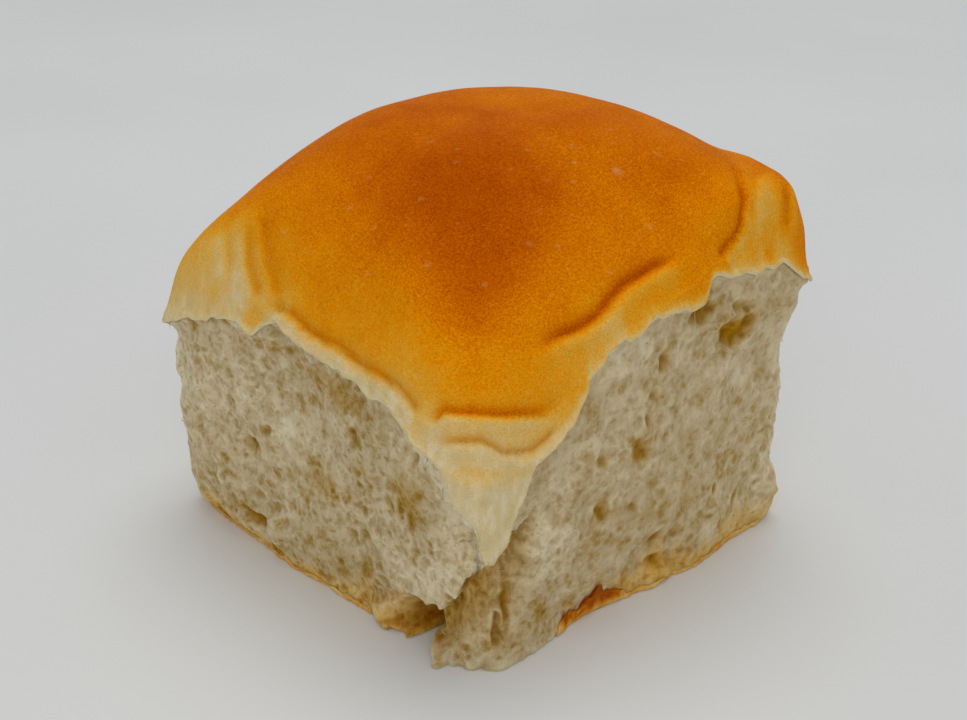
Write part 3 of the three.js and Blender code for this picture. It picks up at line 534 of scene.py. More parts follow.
def torn_marks(x, y, girth, height):
    """How far the hollows and lumps push the wall, and how deep it lies in a hollow, which sets its painted
    shade.
    """
    wander_along = layered(x, y, height, MARK_WARPS, seed=71)
    wander_up = layered(x, y, height, MARK_WARPS, seed=72)
    girth = girth + wander_along
    height = height + wander_up
    push = np.zeros_like(height)
    hollow = np.zeros_like(height)
    for side, along, up, wide, tall, depth, slope in TORN_MARKS:
        middle = side * SIDE_LENGTH + along + BASE_HALF
        d = np.hypot(girth_gap(girth, middle) / wide, (height - up) / tall)
        amount = ease((1 - d) / slope)
        push -= depth * amount
        if depth > 0:
            # painted golden shade in the hollow, fuller in deep and broad ones
            golden = min(1, depth / HOLLOW_FULL, (wide + tall) / HOLLOW_BROAD)
            hollow = np.maximum(hollow, amount * golden)
    return push, hollow


def flap_hollow(girth, height):
    """Share of the way into the hollow under the torn flap at the near corner."""
    places = [p for p, _ in FLAP_EDGE]
    here = np.where(girth < FLAP_WRAP, girth + GIRTH, girth)
    ragged = sum(size * waves(here, height, 0 * here, length, seed) for length, size, seed in FLAP_RAGGED)
    below = np.interp(here, places, [h for _, h in FLAP_EDGE]) + ragged - height
    under = ease(below / FLAP["lip"]) * ease(1 - (below - FLAP["level"]) / FLAP["fade"])
    above_foot = ease((height - FLAP["foot_top"]) / FLAP["foot_slope"] + 1)
    ends = ease((here - places[0]) / FLAP["taper"]) * ease((places[-1] - here) / FLAP["taper"])
    return under * above_foot * ends


def wall_push(angle, up):
    """The smooth wall, how far waves and marks push it, and how deep it lies in a hollow, which sets its
    painted shade.
    """
    x, y, out_x, out_y, girth, rim, height = wall_frame(angle, up)
    marks, hollow = torn_marks(x, y, girth, height)
    flap = flap_hollow(girth, height)
    push = layered(x, y, height * WAVE_STRETCH, TORN_WAVES)
    push += marks - FLAP["depth"] * flap
    return x, y, out_x, out_y, girth, rim, height, push, np.maximum(hollow, FLAP["golden"] * flap)


def rim_settle(push, girth, rim, height):
    """Undercuts the wall below the rim and brings it out to the rim."""
    below = rim - height
    depth, reach = LIP_UNDERCUT
    less, spread = TONGUE_CLINGS
    depth = depth * (1 - less * bell(girth_gap(girth, 0) / spread))
    push = push - depth * bell(below / reach - 1)
    return push * ease(below / RIM_GRIP)


def wall_points(angle, up):
    """Points of the torn wall, without the crumb's fine relief."""
    x, y, out_x, out_y, girth, rim, height, push, _ = wall_push(angle, up)
    push = rim_settle(push, girth, rim, height)
    return np.stack([x + out_x * push, y + out_y * push, height], -1)


def side_profile(girth, tables):
    """A height given along each side, at any place round the girth, with a ragged edge."""
    side = np.floor(girth / SIDE_LENGTH).astype(int) % 4
    ragged = layered(girth, 0 * girth, 0 * girth, RISE_RAGGED, seed=55)
    return from_tables(side, girth % SIDE_LENGTH - BASE_HALF, tables) * (1 + ragged)


# ---------------------------------------------------------------- cells of the crumb

def cell_layer(along, height, layer):
    """Depth, from 0 to 1, of open cells with thin walls, scattered over the torn face."""
    columns = int(round(GIRTH / layer["spacing"]))
    step_x = GIRTH / columns
    step_z = layer["spacing"] * CELL_TALL
    column = np.floor(along / step_x)
    row = np.floor(height / step_z)
    nearest = np.full_like(along, np.inf)
    second = np.full_like(along, np.inf)
    openness = np.zeros_like(along)
    for di in (-1, 0, 1):
        for dj in (-1, 0, 1):
            i = column + di
            j = row + dj
            wrapped = i % columns
            dice = [0.5 + 0.5 * lattice_value(wrapped, j, n, layer["seed"]) for n in range(3)]
            d = np.hypot((i + dice[0]) - along / step_x, (j + dice[1]) - height / step_z)
            closer = d < nearest
            second = np.where(closer, nearest, np.minimum(second, d))
            open_here = ease((dice[2] - layer["closed"]) / CELL_OPENING)
            openness = np.where(closer, open_here, openness)
            nearest = np.where(closer, d, nearest)
    wall = (second - nearest) / (2 * layer["wall"])
    return ease(wall) * openness


def crumb_relief(x, y, girth, height):
    """Fine relief of the torn crumb, strands between open cells: its push, the painted shade of its cells,
    and openness.
    """
    along = girth
    raised = height
    for number, (length, distance) in enumerate(CELL_WARPS):
        along = along + distance * waves(x, y, height, length, seed=21 + number)
        raised = raised + distance * waves(x, y, height, length, seed=25 + number)
    length, strength = OPEN_PATCHES
    patch = np.clip(1 + strength * waves(x, y, height, length, seed=29), *OPEN_RANGE)
    lacy = around(np.arctan2(y, x), LACY)
    cells = np.zeros_like(height)
    shade = np.zeros_like(height)
    for layer in CELL_LAYERS:
        amount = cell_layer(along, raised, layer) * patch
        cells = cells + layer["depth"] * amount * lacy
        shade = shade + layer["shade"] * amount
    strands = np.zeros_like(height)
    for number, (length, size) in enumerate(STRANDS):
        strands += size * (1 - 2 * np.abs(waves(x, y, height, length, seed=31 + number)))
    return CRUMB_SEAT + strands * lacy - cells, shade, lacy


def ragged_edges(x, y, angle, height, skin):
    """Coarse tearing of the crumb at the corners, and along the foot where no base crust shows."""
    _, along = side_at(angle)
    at_corner = ease((np.abs(along) - CORNER_TEARS_FROM) / (1 - CORNER_TEARS_FROM))
    torn = at_corner * layered(x, y, height, CORNER_TEARS, seed=81)
    at_foot = (1 - ease(height / FOOT_TEARS["up_to"])) * (1 - base_shows(skin))
    return torn + at_foot * FOOT_TEARS["size"] * waves(x, y, 0 * height, FOOT_TEARS["length"], seed=82)


def blurred(field, reach_rows, reach_columns):
    """Mean of a field of rows and columns over a window, wrapping round the columns."""
    for _ in range(2):
        total = np.zeros_like(field)
        for shift in range(-reach_columns, reach_columns + 1):
            total += np.roll(field, shift, axis=1)
        field = total / (2 * reach_columns + 1)
        padded = np.pad(field, ((reach_rows, reach_rows), (0, 0)), mode="edge")
        total = np.zeros_like(field)
        for shift in range(2 * reach_rows + 1):
            total += padded[shift:shift + len(field)]
        field = total / (2 * reach_rows + 1)
    return field


# ---------------------------------------------------------------- mesh making

class Patchwork:
    """Gathers points, faces with their UVs and point values, and makes one mesh object of them."""

    def __init__(self):
        self.points = []
        self.count = 0
        self.faces = []
        self.uvs = []
        self.values = {}

    def add_points(self, points, **values):
        points = np.asarray(points, float).reshape(-1, 3)
        indices = np.arange(self.count, self.count + len(points))
        self.points.append(points)
        self.count += len(points)
        for name, value in values.items():
            flat = np.broadcast_to(np.asarray(value, float), (len(points),))
            self.values.setdefault(name, []).append((indices, flat))
        return indices

    def add_faces(self, corners, uvs):
        self.faces.append(np.asarray(corners))
        self.uvs.append(np.asarray(uvs, float))

    def add_sheet(self, indices, uv_box, wrap=False, flip=False):
        """Quads over a grid of point indices, its UVs spread over uv_box (left, bottom, right, top)."""
        rows, columns = indices.shape
        if wrap:
            indices = np.concatenate([indices, indices[:, :1]], axis=1)
            columns += 1
        left, bottom, right, top = uv_box
        u, v = np.meshgrid(np.linspace(left, right, columns), np.linspace(bottom, top, rows))
        uv = np.stack([u, v], -1)
        order = [(0, 0), (0, 1), (1, 1), (1, 0)]
        if flip:
            order.reverse()
        pick = [(slice(dr, rows - 1 + dr), slice(dc, columns - 1 + dc)) for dr, dc in order]
        self.add_faces(np.stack([indices[p] for p in pick], -1).reshape(-1, 4),
                       np.stack([uv[p] for p in pick], -2).reshape(-1, 4, 2))

    def add_halving(self, ring, half_ring, uv_box, flip=False):
        """Joins a ring to one with half as many points, three triangles for each pair."""
        left, bottom, right, top = uv_box
        a, b, c = ring[0::2], ring[1::2], np.roll(ring[0::2], -1)
        p, q = half_ring, np.roll(half_ring, -1)
        u = np.linspace(left, right, len(p) + 1)
        low = np.full(len(p), bottom)
        uv = {"a": (u[:-1], low), "b": ((u[:-1] + u[1:]) / 2, low), "c": (u[1:], low),
              "p": (u[:-1], low + top - bottom), "q": (u[1:], low + top - bottom)}
        uv = {name: np.stack(pair, -1) for name, pair in uv.items()}
        points = {"a": a, "b": b, "c": c, "p": p, "q": q}
        for names in ("abp", "bqp", "bcq"):
            names = names[::-1] if flip else names
            self.add_faces(np.stack([points[n] for n in names], -1), np.stack([uv[n] for n in names], -2))

    def add_fan(self, ring, middle, uv_centre, uv_radius, flip=False):
        """Triangles from a ring of points to one middle point."""
        turn = np.linspace(0, FULL_TURN, len(ring) + 1)
        rim_uv = uv_centre + uv_radius * np.stack([np.cos(turn), np.sin(turn)], -1)
        nxt = np.roll(ring, -1)
        hub = np.full(len(ring), middle)
        hub_uv = np.broadcast_to(uv_centre, (len(ring), 2))
        faces = [ring, nxt, hub]
        uvs = [rim_uv[:-1], rim_uv[1:], hub_uv]
        if flip:
            faces.reverse()
            uvs.reverse()
        self.add_faces(np.stack(faces, -1), np.stack(uvs, -2))

    def build(self, name):
        points = np.concatenate(self.points) * MM
        mesh = bpy.data.meshes.new(name)
        corners = np.concatenate([f.ravel() for f in self.faces])
        sizes = np.concatenate([np.full(len(f), f.shape[1]) for f in self.faces])
        starts = np.concatenate([[0], np.cumsum(sizes)[:-1]])
        mesh.vertices.add(len(points))
        mesh.vertices.foreach_set("co", points.astype(np.float32).ravel())
        mesh.loops.add(len(corners))
        mesh.loops.foreach_set("vertex_index", corners.astype(np.int32))
        mesh.polygons.add(len(sizes))
        mesh.polygons.foreach_set("loop_start", starts.astype(np.int32))
        mesh.polygons.foreach_set("use_smooth", np.ones(len(sizes), bool))
        layer = mesh.uv_layers.new(name="OFBake")
        uvs = np.concatenate([u.reshape(-1, 2) for u in self.uvs])
        layer.data.foreach_set("uv", uvs.astype(np.float32).ravel())
        for value_name, parts in self.values.items():
            data = np.zeros(len(points), np.float32)
            for indices, flat in parts:
                data[indices] = flat
            mesh.attributes.new(value_name, "FLOAT", "POINT").data.foreach_set("value", data)
        mesh.update(calc_edges=True)
        mesh.validate()
        piece = bpy.data.objects.new(name, mesh)
        bpy.context.scene.collection.objects.link(piece)
        return piece


# ---------------------------------------------------------------- the crust

# How brown the crust is, from 0 (cream) to 1 (dark): its value over the middle, and the shares of the reach
# at which it starts to fall and is gone, for the eight directions.
BROWN_PEAK = [0.67, 0.64, 0.60, 0.58, 0.62, 0.70, 0.71, 0.74]
BROWN_START = [0.62, 0.70, 0.52, 0.50, 0.50, 0.50, 0.52, 0.62]
BROWN_END = [1.32, 1.40, 1.12, 1.10, 1.08, 1.05, 1.20, 1.05]
DARK_PATCHES = [(8.8, -17.0, 8.5, 0.15), (15.5, -11.0, 8.0, 0.06)]  # (x, y, radius, amount)
BROWN_FALL = 1.3  # the browning falls slowly at first, then faster
BROWN_CLOUDS = [(8.0, 0.08, 43), (3.0, 0.05, 44)]  # (length, amount, seed)
CLOUD_RANGE = (0.1, 1)  # pale crust is less cloudy than brown crust
RIDGE_PALING = 0.3
FOLD_SHADE = 0.6  # a fold this deep shades its valley fully
# Towards the torn rim the browning falls to this share of what it was.
RIM_BROWN = {"left": 0.35, "reach": 2.4}
RIM_PATCHY = (3.5, 0.5)  # and it does so unevenly: (length, share of the reach)
RIM_CURL = {"height": 0.28, "above": 0.45, "reach": 0.45}  # the torn rim curls outwards just above its edge
CURL_LENGTH = 2.2  # and does so in places about this long
TORN_EDGE = 0.8  # width of the pale torn edge of the crust
TORN_EDGE_RAGGED = (0.8, 0.7)  # (length, share of that width)
RIM_JITTER = [(1.6, 0.4), (0.8, 0.35)]  # sideways tearing of the rim: (length, distance)
SKIN_FROM = 0.72  # from this share of the reach on the crust is a loose skin with pleats
SKIN_OVER = 0.25  # and fully so over this much more of it
RIM_PLEATS = (1.9, 0.16, 0.3)  # (length, height, how much longer downwards)
SKIN_WAVES = (4.2, 0.16)  # (length, height)
SOFT_WAVES = (3.2, 0.05)  # these run over the whole crust
THIN_FROM = 0.9  # the crust thins out from this share of the reach on

CRUST_UV = {"outside": (0.01, 0.01, 0.86, 0.86), "inside": (0.88, 0.01, 0.99, 0.86),
            "apron": (0.01, 0.88, 0.99, 0.95), "apron_inside": (0.01, 0.96, 0.99, 0.975),
            "torn_rim": (0.01, 0.98, 0.99, 0.99)}

# Small blisters of the crust: (x, y, radius, height).
BLISTERS = [
    (20.5, 3.1, 0.95, 0.16), (26.2, 3.3, 0.45, 0.14), (22.8, -9.1, 0.42, 0.14), (20.6, -11.7, 0.42, 0.12),
    (26.9, -4.4, 0.45, 0.14), (17.2, 5.7, 0.35, 0.1), (21.6, 9.6, 0.35, 0.1), (8.7, -18.7, 0.42, 0.13),
    (-0.4, -22.5, 0.42, 0.12), (14.4, -22.4, 0.35, 0.1), (-9.1, -27.0, 0.6, 0.14),
    (-11.2, -28.2, 0.45, 0.13), (-8.2, -27.2, 0.4, 0.1), (-10.4, -28.9, 0.4, 0.12),
]
# Tiny blisters scattered over the dome: how many, how far out, how crowded in its middle, their radius and
# how rare large ones are, and their height as a share of the radius.
SMALL_BLISTERS = {"count": 260, "seed": 5, "reach": 29, "crowding": 0.55, "radius": (0.1, 0.22),
                  "rarity": 6, "height": 0.3}


def scattered_blisters():
    dice = np.random.default_rng(SMALL_BLISTERS["seed"])
    count = SMALL_BLISTERS["count"]
    reach = dice.random(count) ** SMALL_BLISTERS["crowding"] * SMALL_BLISTERS["reach"]
    turn = dice.random(count) * FULL_TURN
    radius = dice.uniform(*SMALL_BLISTERS["radius"], count)
    radius *= 1 + dice.random(count) ** SMALL_BLISTERS["rarity"]
    return list(zip(reach * np.cos(turn), reach * np.sin(turn), radius, SMALL_BLISTERS["height"] * radius))


def blister_heights(points):
    """The blisters' height over the crust, and how pale they make it."""
    height = np.zeros(len(points))
    pale = np.zeros(len(points))
    for x, y, radius, size in BLISTERS + scattered_blisters():
        off_x = points[:, 0] - x
        off_y = points[:, 1] - y
        near = np.flatnonzero((np.abs(off_x) < 2 * radius) & (np.abs(off_y) < 2 * radius))
        off_z = points[near, 2] - crown_height(np.array([x]), np.array([y]))
        d = np.sqrt(off_x[near] ** 2 + off_y[near] ** 2 + off_z ** 2) / radius
        bump = np.clip(1 - d * d, 0, 1) ** 2
        height[near] += size * bump
        pale[near] = np.maximum(pale[near], bump)
    return height, pale


def crust_relief(points, reach, rim_distance):
    """Folds, ridges, blisters and soft skin wrinkles: their height, what they do to the browning, and the
    painted shade in fold valleys.
    """
    x, y, z = points.T
    angle = np.arctan2(y, x)
    length, size = CROWN_WAVES
    relief = size * waves(x, y, z, length)
    start = around(angle, BROWN_START)
    fall = np.clip((reach - start) / (around(angle, BROWN_END) - start), 0, 1)
    brown = around(angle, BROWN_PEAK) * (1 - fall ** BROWN_FALL)
    for spot_x, spot_y, radius, amount in DARK_PATCHES:
        brown += amount * bell(np.hypot(x - spot_x, y - spot_y) / radius)
    clouds = sum(amount * waves(x, y, z, length, seed) for length, amount, seed in BROWN_CLOUDS)
    brown += clouds * np.clip(2 * brown, *CLOUD_RANGE)
    crease_shade = np.zeros(len(points))
    shaded = np.zeros(len(points))
    for fold in FOLDS:
        valley, ridge, past = fold_profile(points, fold)
        relief += fold["ridge"] * ridge - fold["depth"] * valley
        brown *= 1 - fold["stop"] * past
        brown -= RIDGE_PALING * ridge * brown
        # painted shade in the fold's valley: bake darkens the browning there, and the valley's depth darkens
        # its colour
        crease_shade = np.maximum(crease_shade, fold["bake"] * valley ** 2)
        shaded = np.maximum(shaded, ease(fold["depth"] / FOLD_SHADE) * valley ** 2)
    length, share = RIM_PATCHY
    patchy = rim_distance / (RIM_BROWN["reach"] * (1 + share * waves(x, y, z, length, seed=48)))
    brown = (brown + crease_shade) * mix(RIM_BROWN["left"], 1, ease(patchy))
    skin = ease((reach - SKIN_FROM) / SKIN_OVER)
    length, size = SOFT_WAVES
    relief += size * waves(x, y, z, length, seed=41)
    length, size, stretch = RIM_PLEATS
    relief += size * skin * waves(x, y, z * stretch, length, seed=42)
    length, size = SKIN_WAVES
    relief += size * skin * waves(x, y, z, length, seed=45)
    bumps, pale = blister_heights(points)
    return relief + bumps, {"brown": brown, "blister": pale, "crease_shade": shaded}


def crown_grid():
    """The crown's points and normals on a square grid, and how far out they lie as a share of the reach."""
    line = np.linspace(-1, 1, CRUST_STEPS + 1)
    u, v = (g.ravel() for g in np.meshgrid(line, line))
    even = np.maximum(np.abs(u), np.abs(v))
    angle = np.arctan2(v, u)
    crowding = 1 + RIM_CROWDING * (1 - even * even)
    reach = even * crowding
    ratio = np.minimum(np.abs(u), np.abs(v)) / np.maximum(even, 1e-9)
    squareness = around(angle, RIM_SQUARENESS)
    rounding = (1 + ratio ** squareness) ** (-1 / squareness)
    scale = around(angle, RIM_HALF) * crowding * rounding ** (reach * reach)
    x = u * scale
    y = v * scale
    normals = crown_normal(x, y)
    upright = np.stack([x, y, 0 * x], -1) / np.maximum(np.hypot(x, y), 1e-9)[:, None]
    normals = mix(normals, upright, ease((even - SHOULDER_TURN) / (1 - SHOULDER_TURN))[:, None])
    normals = unit(normals)
    return np.stack([x, y, crown_height(x, y)], -1), normals, reach, angle


def apron_rows(angle):
    """The skin from the shoulder to the torn rim: rows of points, normals, drops and heights above it."""
    share = np.linspace(0, 1, APRON_ROWS + 1)[1:, None]
    place = BASE_HALF * np.stack([np.cos(angle), np.sin(angle), 0 * angle])
    torn = layered(*place, RIM_JITTER, seed=47)
    turn = angle + share * torn / BASE_HALF
    x, y, out_x, out_y, _, rim, _ = wall_frame(turn, np.ones_like(turn))
    drop = (shoulder_height(turn) - rim) * share
    height = shoulder_height(turn) - drop
    slope, bend = SHOULDER_BEND
    curve = np.minimum(drop, bend)
    bulge = slope * curve * (1 - curve / (2 * bend))
    x = x + out_x * bulge
    y = y + out_y * bulge
    normals = np.stack([out_x, out_y, 0 * out_x], -1)
    return np.stack([x, y, height], -1), normals, drop, (1 - share) * (drop / share)


def grid_border(grid):
    return np.concatenate([grid[:-1, -1], grid[-1, :0:-1], grid[:0:-1, 0], grid[0, :-1]])


def make_crust():
    points, normals, reach, angle = crown_grid()
    size = CRUST_STEPS + 1
    ring = grid_border(np.arange(size * size).reshape(size, size))
    low, low_normals, drop, above_rim = apron_rows(angle[ring])
    normals[ring] = low_normals[0]
    points = np.concatenate([points, low.reshape(-1, 3)])
    normals = np.concatenate([normals, low_normals.reshape(-1, 3)])
    reach = np.concatenate([reach, 1 + drop.ravel() / BASE_HALF])
    from_rim = np.full(len(points), np.inf)
    from_rim[size * size:] = above_rim.ravel()
    from_rim[ring] = (above_rim + drop)[0]

    rim_distance = (shoulder_height(angle) - torn_rim(angle)) + BASE_HALF * (1 - reach[:size * size])
    rim_distance = np.concatenate([rim_distance, above_rim.ravel()])
    relief, values = crust_relief(points, reach, rim_distance)
    length, share = TORN_EDGE_RAGGED
    ragged = 1 + share * waves(*points.T, length, seed=46)
    values["edge"] = 1 - ease(from_rim / (TORN_EDGE * ragged))
    settle = ease(RIM_FADE["start"] + from_rim / RIM_FADE["over"])
    curl = RIM_CURL["height"] * bell((from_rim - RIM_CURL["above"]) / RIM_CURL["reach"])
    curl *= np.clip(1 + waves(*points.T, CURL_LENGTH, seed=49), 0, 2)
    points = points + normals * (relief * settle + curl)[:, None]
    thickness = mix(CRUST_THICKNESS, RIM_THICKNESS, ease((reach - THIN_FROM) / (1 - THIN_FROM)))

    work = Patchwork()
    outer = work.add_points(points, **values)
    inner = work.add_points(points - normals * thickness[:, None], **dict(values, edge=1.0))
    apron = np.concatenate([ring, np.arange(size * size, len(points))]).reshape(APRON_ROWS + 1, -1)
    square = np.arange(size * size).reshape(size, size)
    work.add_sheet(outer[square], CRUST_UV["outside"])
    work.add_sheet(inner[square], CRUST_UV["inside"], flip=True)
    work.add_sheet(outer[apron[::-1]], CRUST_UV["apron"], wrap=True)
    work.add_sheet(inner[apron], CRUST_UV["apron_inside"], wrap=True)
    work.add_sheet(np.stack([inner[apron[-1]], outer[apron[-1]]]), CRUST_UV["torn_rim"], wrap=True)
    return work.build("crust")


# ---------------------------------------------------------------- the crumb

def wall_angles(columns):
    """Angles once round the roll, with a number of even steps on each side."""
    angles = []
    for side in range(4):
        along = 2 * np.arange(columns[side]) / columns[side] - 1
        angles.append(side * FULL_TURN / 4 + np.arctan(along))
    return np.concatenate(angles)


def pale_film(girth, height, rim):
    """How far a thin pale film of crumb covers the open cells."""
    film = bell(girth_gap(girth, VEIL["place"]) / VEIL["along"]) * (1 - ease((rim - height) / VEIL["down"]))
    for place, up, wide, tall, strength in FILM_PATCHES:
        film += strength * bell(np.hypot(girth_gap(girth, place) / wide, (height - up) / tall))
    return film


def crumb_wall():
    """The torn crumb's rows of points, their outward directions and the values that its material reads."""
    angles = wall_angles(WALL_COLUMNS)
    shape = (WALL_ROWS + 1, len(angles))
    share = np.linspace(WALL_START, 1, WALL_ROWS + 1)
    angle_grid, up_grid = (g.ravel() for g in np.meshgrid(angles, share))
    up_grid *= 1 + CRUMB_TUCK["above"] / torn_rim(angle_grid)
    x, y, out_x, out_y, girth, rim, height, push, hollow = wall_push(angle_grid, up_grid)
    fine, shade, lacy = crumb_relief(x, y, girth, height)
    skin = side_profile(girth, BASE_RISE)
    under_crust = ease((height - rim) / CRUMB_TUCK["above"] + CRUMB_TUCK["start"])
    behind_base = base_shows(skin) * (1 - ease((height - skin) / BASE_TUCK["height"]))
    seen = (1 - CRUMB_TUCK["smoother"] * under_crust) * (1 - BASE_TUCK["smoother"] * behind_base)
    push = rim_settle(push, girth, rim, height) + fine * seen
    push += ragged_edges(x, y, angle_grid, height, skin) * (1 - under_crust)
    push -= CRUMB_TUCK["depth"] * under_crust + BASE_TUCK["depth"] * behind_base

    # cavity: how far the fine relief lies below its blurred surface, which the material paints as shade
    reach = max(1, int(CAVITY_REACH / (GIRTH / len(angles)) / 2))
    field = fine.reshape(shape)
    cavity = (blurred(field, reach, reach) - field).ravel() / CAVITY_FULL
    calm = (1 - under_crust) * (1 - behind_base)
    length, distance = CRUMB_SAG
    sag = distance * calm * waves(x, y, height, length, seed=63)
    slide = distance * calm * waves(x, y, height, length, seed=64)
    sagged = np.maximum(height + sag, 0)
    points = np.stack([x + out_x * push - out_y * slide, y + out_y * push + out_x * slide, sagged], -1)
    golden = np.maximum(side_profile(girth, TOAST_RISE), TOAST_FADE["least"])
    values = {
        "cavity": cavity,
        "cell": shade,
        "lacy": lacy,
        "hollow": hollow,
        "toast": 1 - ease(height / golden - TOAST_FADE["from"]),
        "veil": pale_film(girth, height, rim),
        "under_rim": 1 - ease((rim - height) / RIM_REACH),
    }
    outward = np.stack([out_x, out_y, 0 * out_x], -1)
    return points.reshape(*shape, 3), outward.reshape(*shape, 3), values


# What the crumb's material reads where the crumb is hidden, and where only a wisp of it hangs.
PLAIN_CRUMB = {"cavity": 0.0, "cell": 0.0, "lacy": 1.0, "hollow": 0.0, "toast": 0.0, "veil": 0.0,
               "under_rim": 0.0}


def make_crumb(points, values):
    rows, columns = points.shape[:2]
    work = Patchwork()
    wall = work.add_points(points, **values).reshape(rows, columns)
    start = 0
    for side in range(4):
        count = WALL_COLUMNS[side]
        picked = wall[:, np.arange(start, start + count + 1) % columns]
        left = 0.01 + 0.5 * (side % 2)
        bottom = 0.01 + 0.42 * (side // 2)
        work.add_sheet(picked, (left, bottom, left + 0.47, bottom + 0.40))
        start += count
    close_crumb(work, wall[-1], points[-1], True, (0.02, 0.86))
    close_crumb(work, wall[0], points[0], False, (0.52, 0.86))
    return work.build("crumb")


def close_crumb(work, ring, edge, under_crust, uv_corner):
    """Closes the crumb under the crust, or over the base crust, with rings that step inwards."""
    left, bottom = uv_corner
    row = CAP_UV["row"]
    for number in range(CAP_RINGS):
        halving = number < CAP_HALVINGS
        share = (CAP_RINGS - number - 1) / CAP_RINGS
        x, y, z = (edge[::2] if halving else edge).T
        if share == 0:
            middle = work.add_points([[0, 0, z.mean()]], **PLAIN_CRUMB)[0]
            hub = (left + CAP_UV["hub"][0], bottom + CAP_UV["hub"][1])
            work.add_fan(ring, middle, hub, CAP_UV["hub_radius"], flip=not under_crust)
            return
        x = x * share / (share + 1 / CAP_RINGS)
        y = y * share / (share + 1 / CAP_RINGS)
        if under_crust:
            sunk = mix(z, crown_height(x, y) - CAP_DEPTH, ease((number + 1) / CAP_SINK_RINGS))
            z = np.maximum(z, sunk)
        edge = np.stack([x, y, z], -1)
        new_ring = work.add_points(edge, **PLAIN_CRUMB)
        box = (left, bottom + row * number, left + CAP_UV["length"], bottom + row * (number + 1))
        if halving:
            work.add_halving(ring, new_ring, box, flip=not under_crust)
        else:
            work.add_sheet(np.stack([ring, new_ring]), box, wrap=True, flip=not under_crust)
        ring = new_ring


# ---------------------------------------------------------------- torn shreds

# Each shred is a flat tapered prism that droops a little as it curls. Its length, width and lift are ranges.
# Shreds get a cavity below 0, which paints them paler than the flush crumb: painted light in place of the
# inner glow that they lack.
SHREDS = {"count": 1500, "seed": 8, "steps": 3, "length": (0.3, 0.9), "width": (0.04, 0.1),
          "lift": (0.0, 0.3), "root": 0.04, "curl": 0.35, "droop": -0.3, "taper": 0.75, "flatness": 1.6,
          "cavity": -0.6}
SHRED_PLACES = {"cavity": 0.25, "power": 2, "at_rim": 4.0, "rim_power": 30, "least_lacy": 0.1}
SHRED_BARE_ROWS = (3, 2)  # rows of the wall without shreds, at its foot and at its top
SHRED_UV = {"in_row": 40, "share": 0.98, "size": 0.02}


def shred_places(points, values, dice):
    """Rows and columns of the wall where shreds hang: at the torn edge and on strands, not in hollows."""
    rows, columns = points.shape[:2]
    cavity, near_rim, hollow, lacy = (
        values[name].reshape(rows, columns) for name in ("cavity", "under_rim", "hollow", "lacy")
    )
    weight = np.clip(SHRED_PLACES["cavity"] - cavity, 0, 1) ** SHRED_PLACES["power"]
    foot, top = SHRED_BARE_ROWS
    weight[:foot] = 0
    weight[-top:] = 0
    weight *= 1 + SHRED_PLACES["at_rim"] * near_rim ** SHRED_PLACES["rim_power"]
    weight *= 1 - np.clip(2 * hollow, 0, 1)
    weight *= np.clip(2 * lacy - 1, SHRED_PLACES["least_lacy"], 1)
    picked = dice.choice(rows * columns, SHREDS["count"], p=(weight / weight.sum()).ravel())
    return np.divmod(picked, columns)


def make_shreds(points, outward, values):
    """Short bent wisps of torn crumb, each a thin tapered prism."""
    dice = np.random.default_rng(SHREDS["seed"])
    row, column = shred_places(points, values, dice)
    count = len(row)
    out = outward[row, column]
    root = points[row, column] - out * SHREDS["root"]
    across = np.stack([-out[:, 1], out[:, 0], 0 * out[:, 0]], -1)
    turn = dice.uniform(0, FULL_TURN, count)[:, None]
    flat = across * np.cos(turn) + np.array([0, 0, 1.0]) * np.sin(turn)
    lift = dice.uniform(*SHREDS["lift"], count)[:, None]
    way = unit(flat + out * lift)
    curl = dice.uniform(-1.0, 1.0, (count, 3)) + np.array([0, 0, SHREDS["droop"]])
    length = dice.uniform(*SHREDS["length"], count)[:, None]
    width = dice.uniform(*SHREDS["width"], count)[:, None]
    flank = unit(np.cross(way, out))
    above = np.cross(flank, way)
    work = Patchwork()
    steps = SHREDS["steps"]
    rings = []
    for share in np.arange(steps + 1) / steps:
        middle = root + way * length * share + curl * length * SHREDS["curl"] * share ** 2
        size = width * (1 - SHREDS["taper"] * share)
        for bend in FULL_TURN * np.arange(3) / 3:
            corner = flank * math.cos(bend) * SHREDS["flatness"] + above * math.sin(bend)
            rings.append(middle + size * corner)
    grid = np.stack(rings).reshape(steps + 1, 3, count, 3)
    toast = np.broadcast_to(values["toast"].reshape(points.shape[:2])[row, column], grid.shape[:3])
    plain = dict(PLAIN_CRUMB, cavity=SHREDS["cavity"], toast=toast.ravel())
    index = work.add_points(grid, **plain).reshape(grid.shape[:3])
    in_row, share, size = (SHRED_UV[name] for name in ("in_row", "share", "size"))
    for shred in range(count):
        left = 0.01 + share * (shred % in_row) / in_row
        bottom = 0.01 + share * (shred // in_row) / (count // in_row + 1)
        ring = index[:, :, shred]
        work.add_sheet(ring, (left, bottom, left + size, bottom + size), wrap=True, flip=True)
        corners = np.array([[left, bottom], [left + size, bottom], [left, bottom + size]])
        work.add_faces([ring[0], ring[-1, ::-1]], [corners, corners])
    return work.build("crumb_shreds")


# ---------------------------------------------------------------- the base crust

def base_shows(rise):
    """1 where the base crust comes out from under the crumb, and 0 where the crumb meets the table."""
    return ease((rise - BASE_TUCKED["under"]) / BASE_TUCKED["blend"])


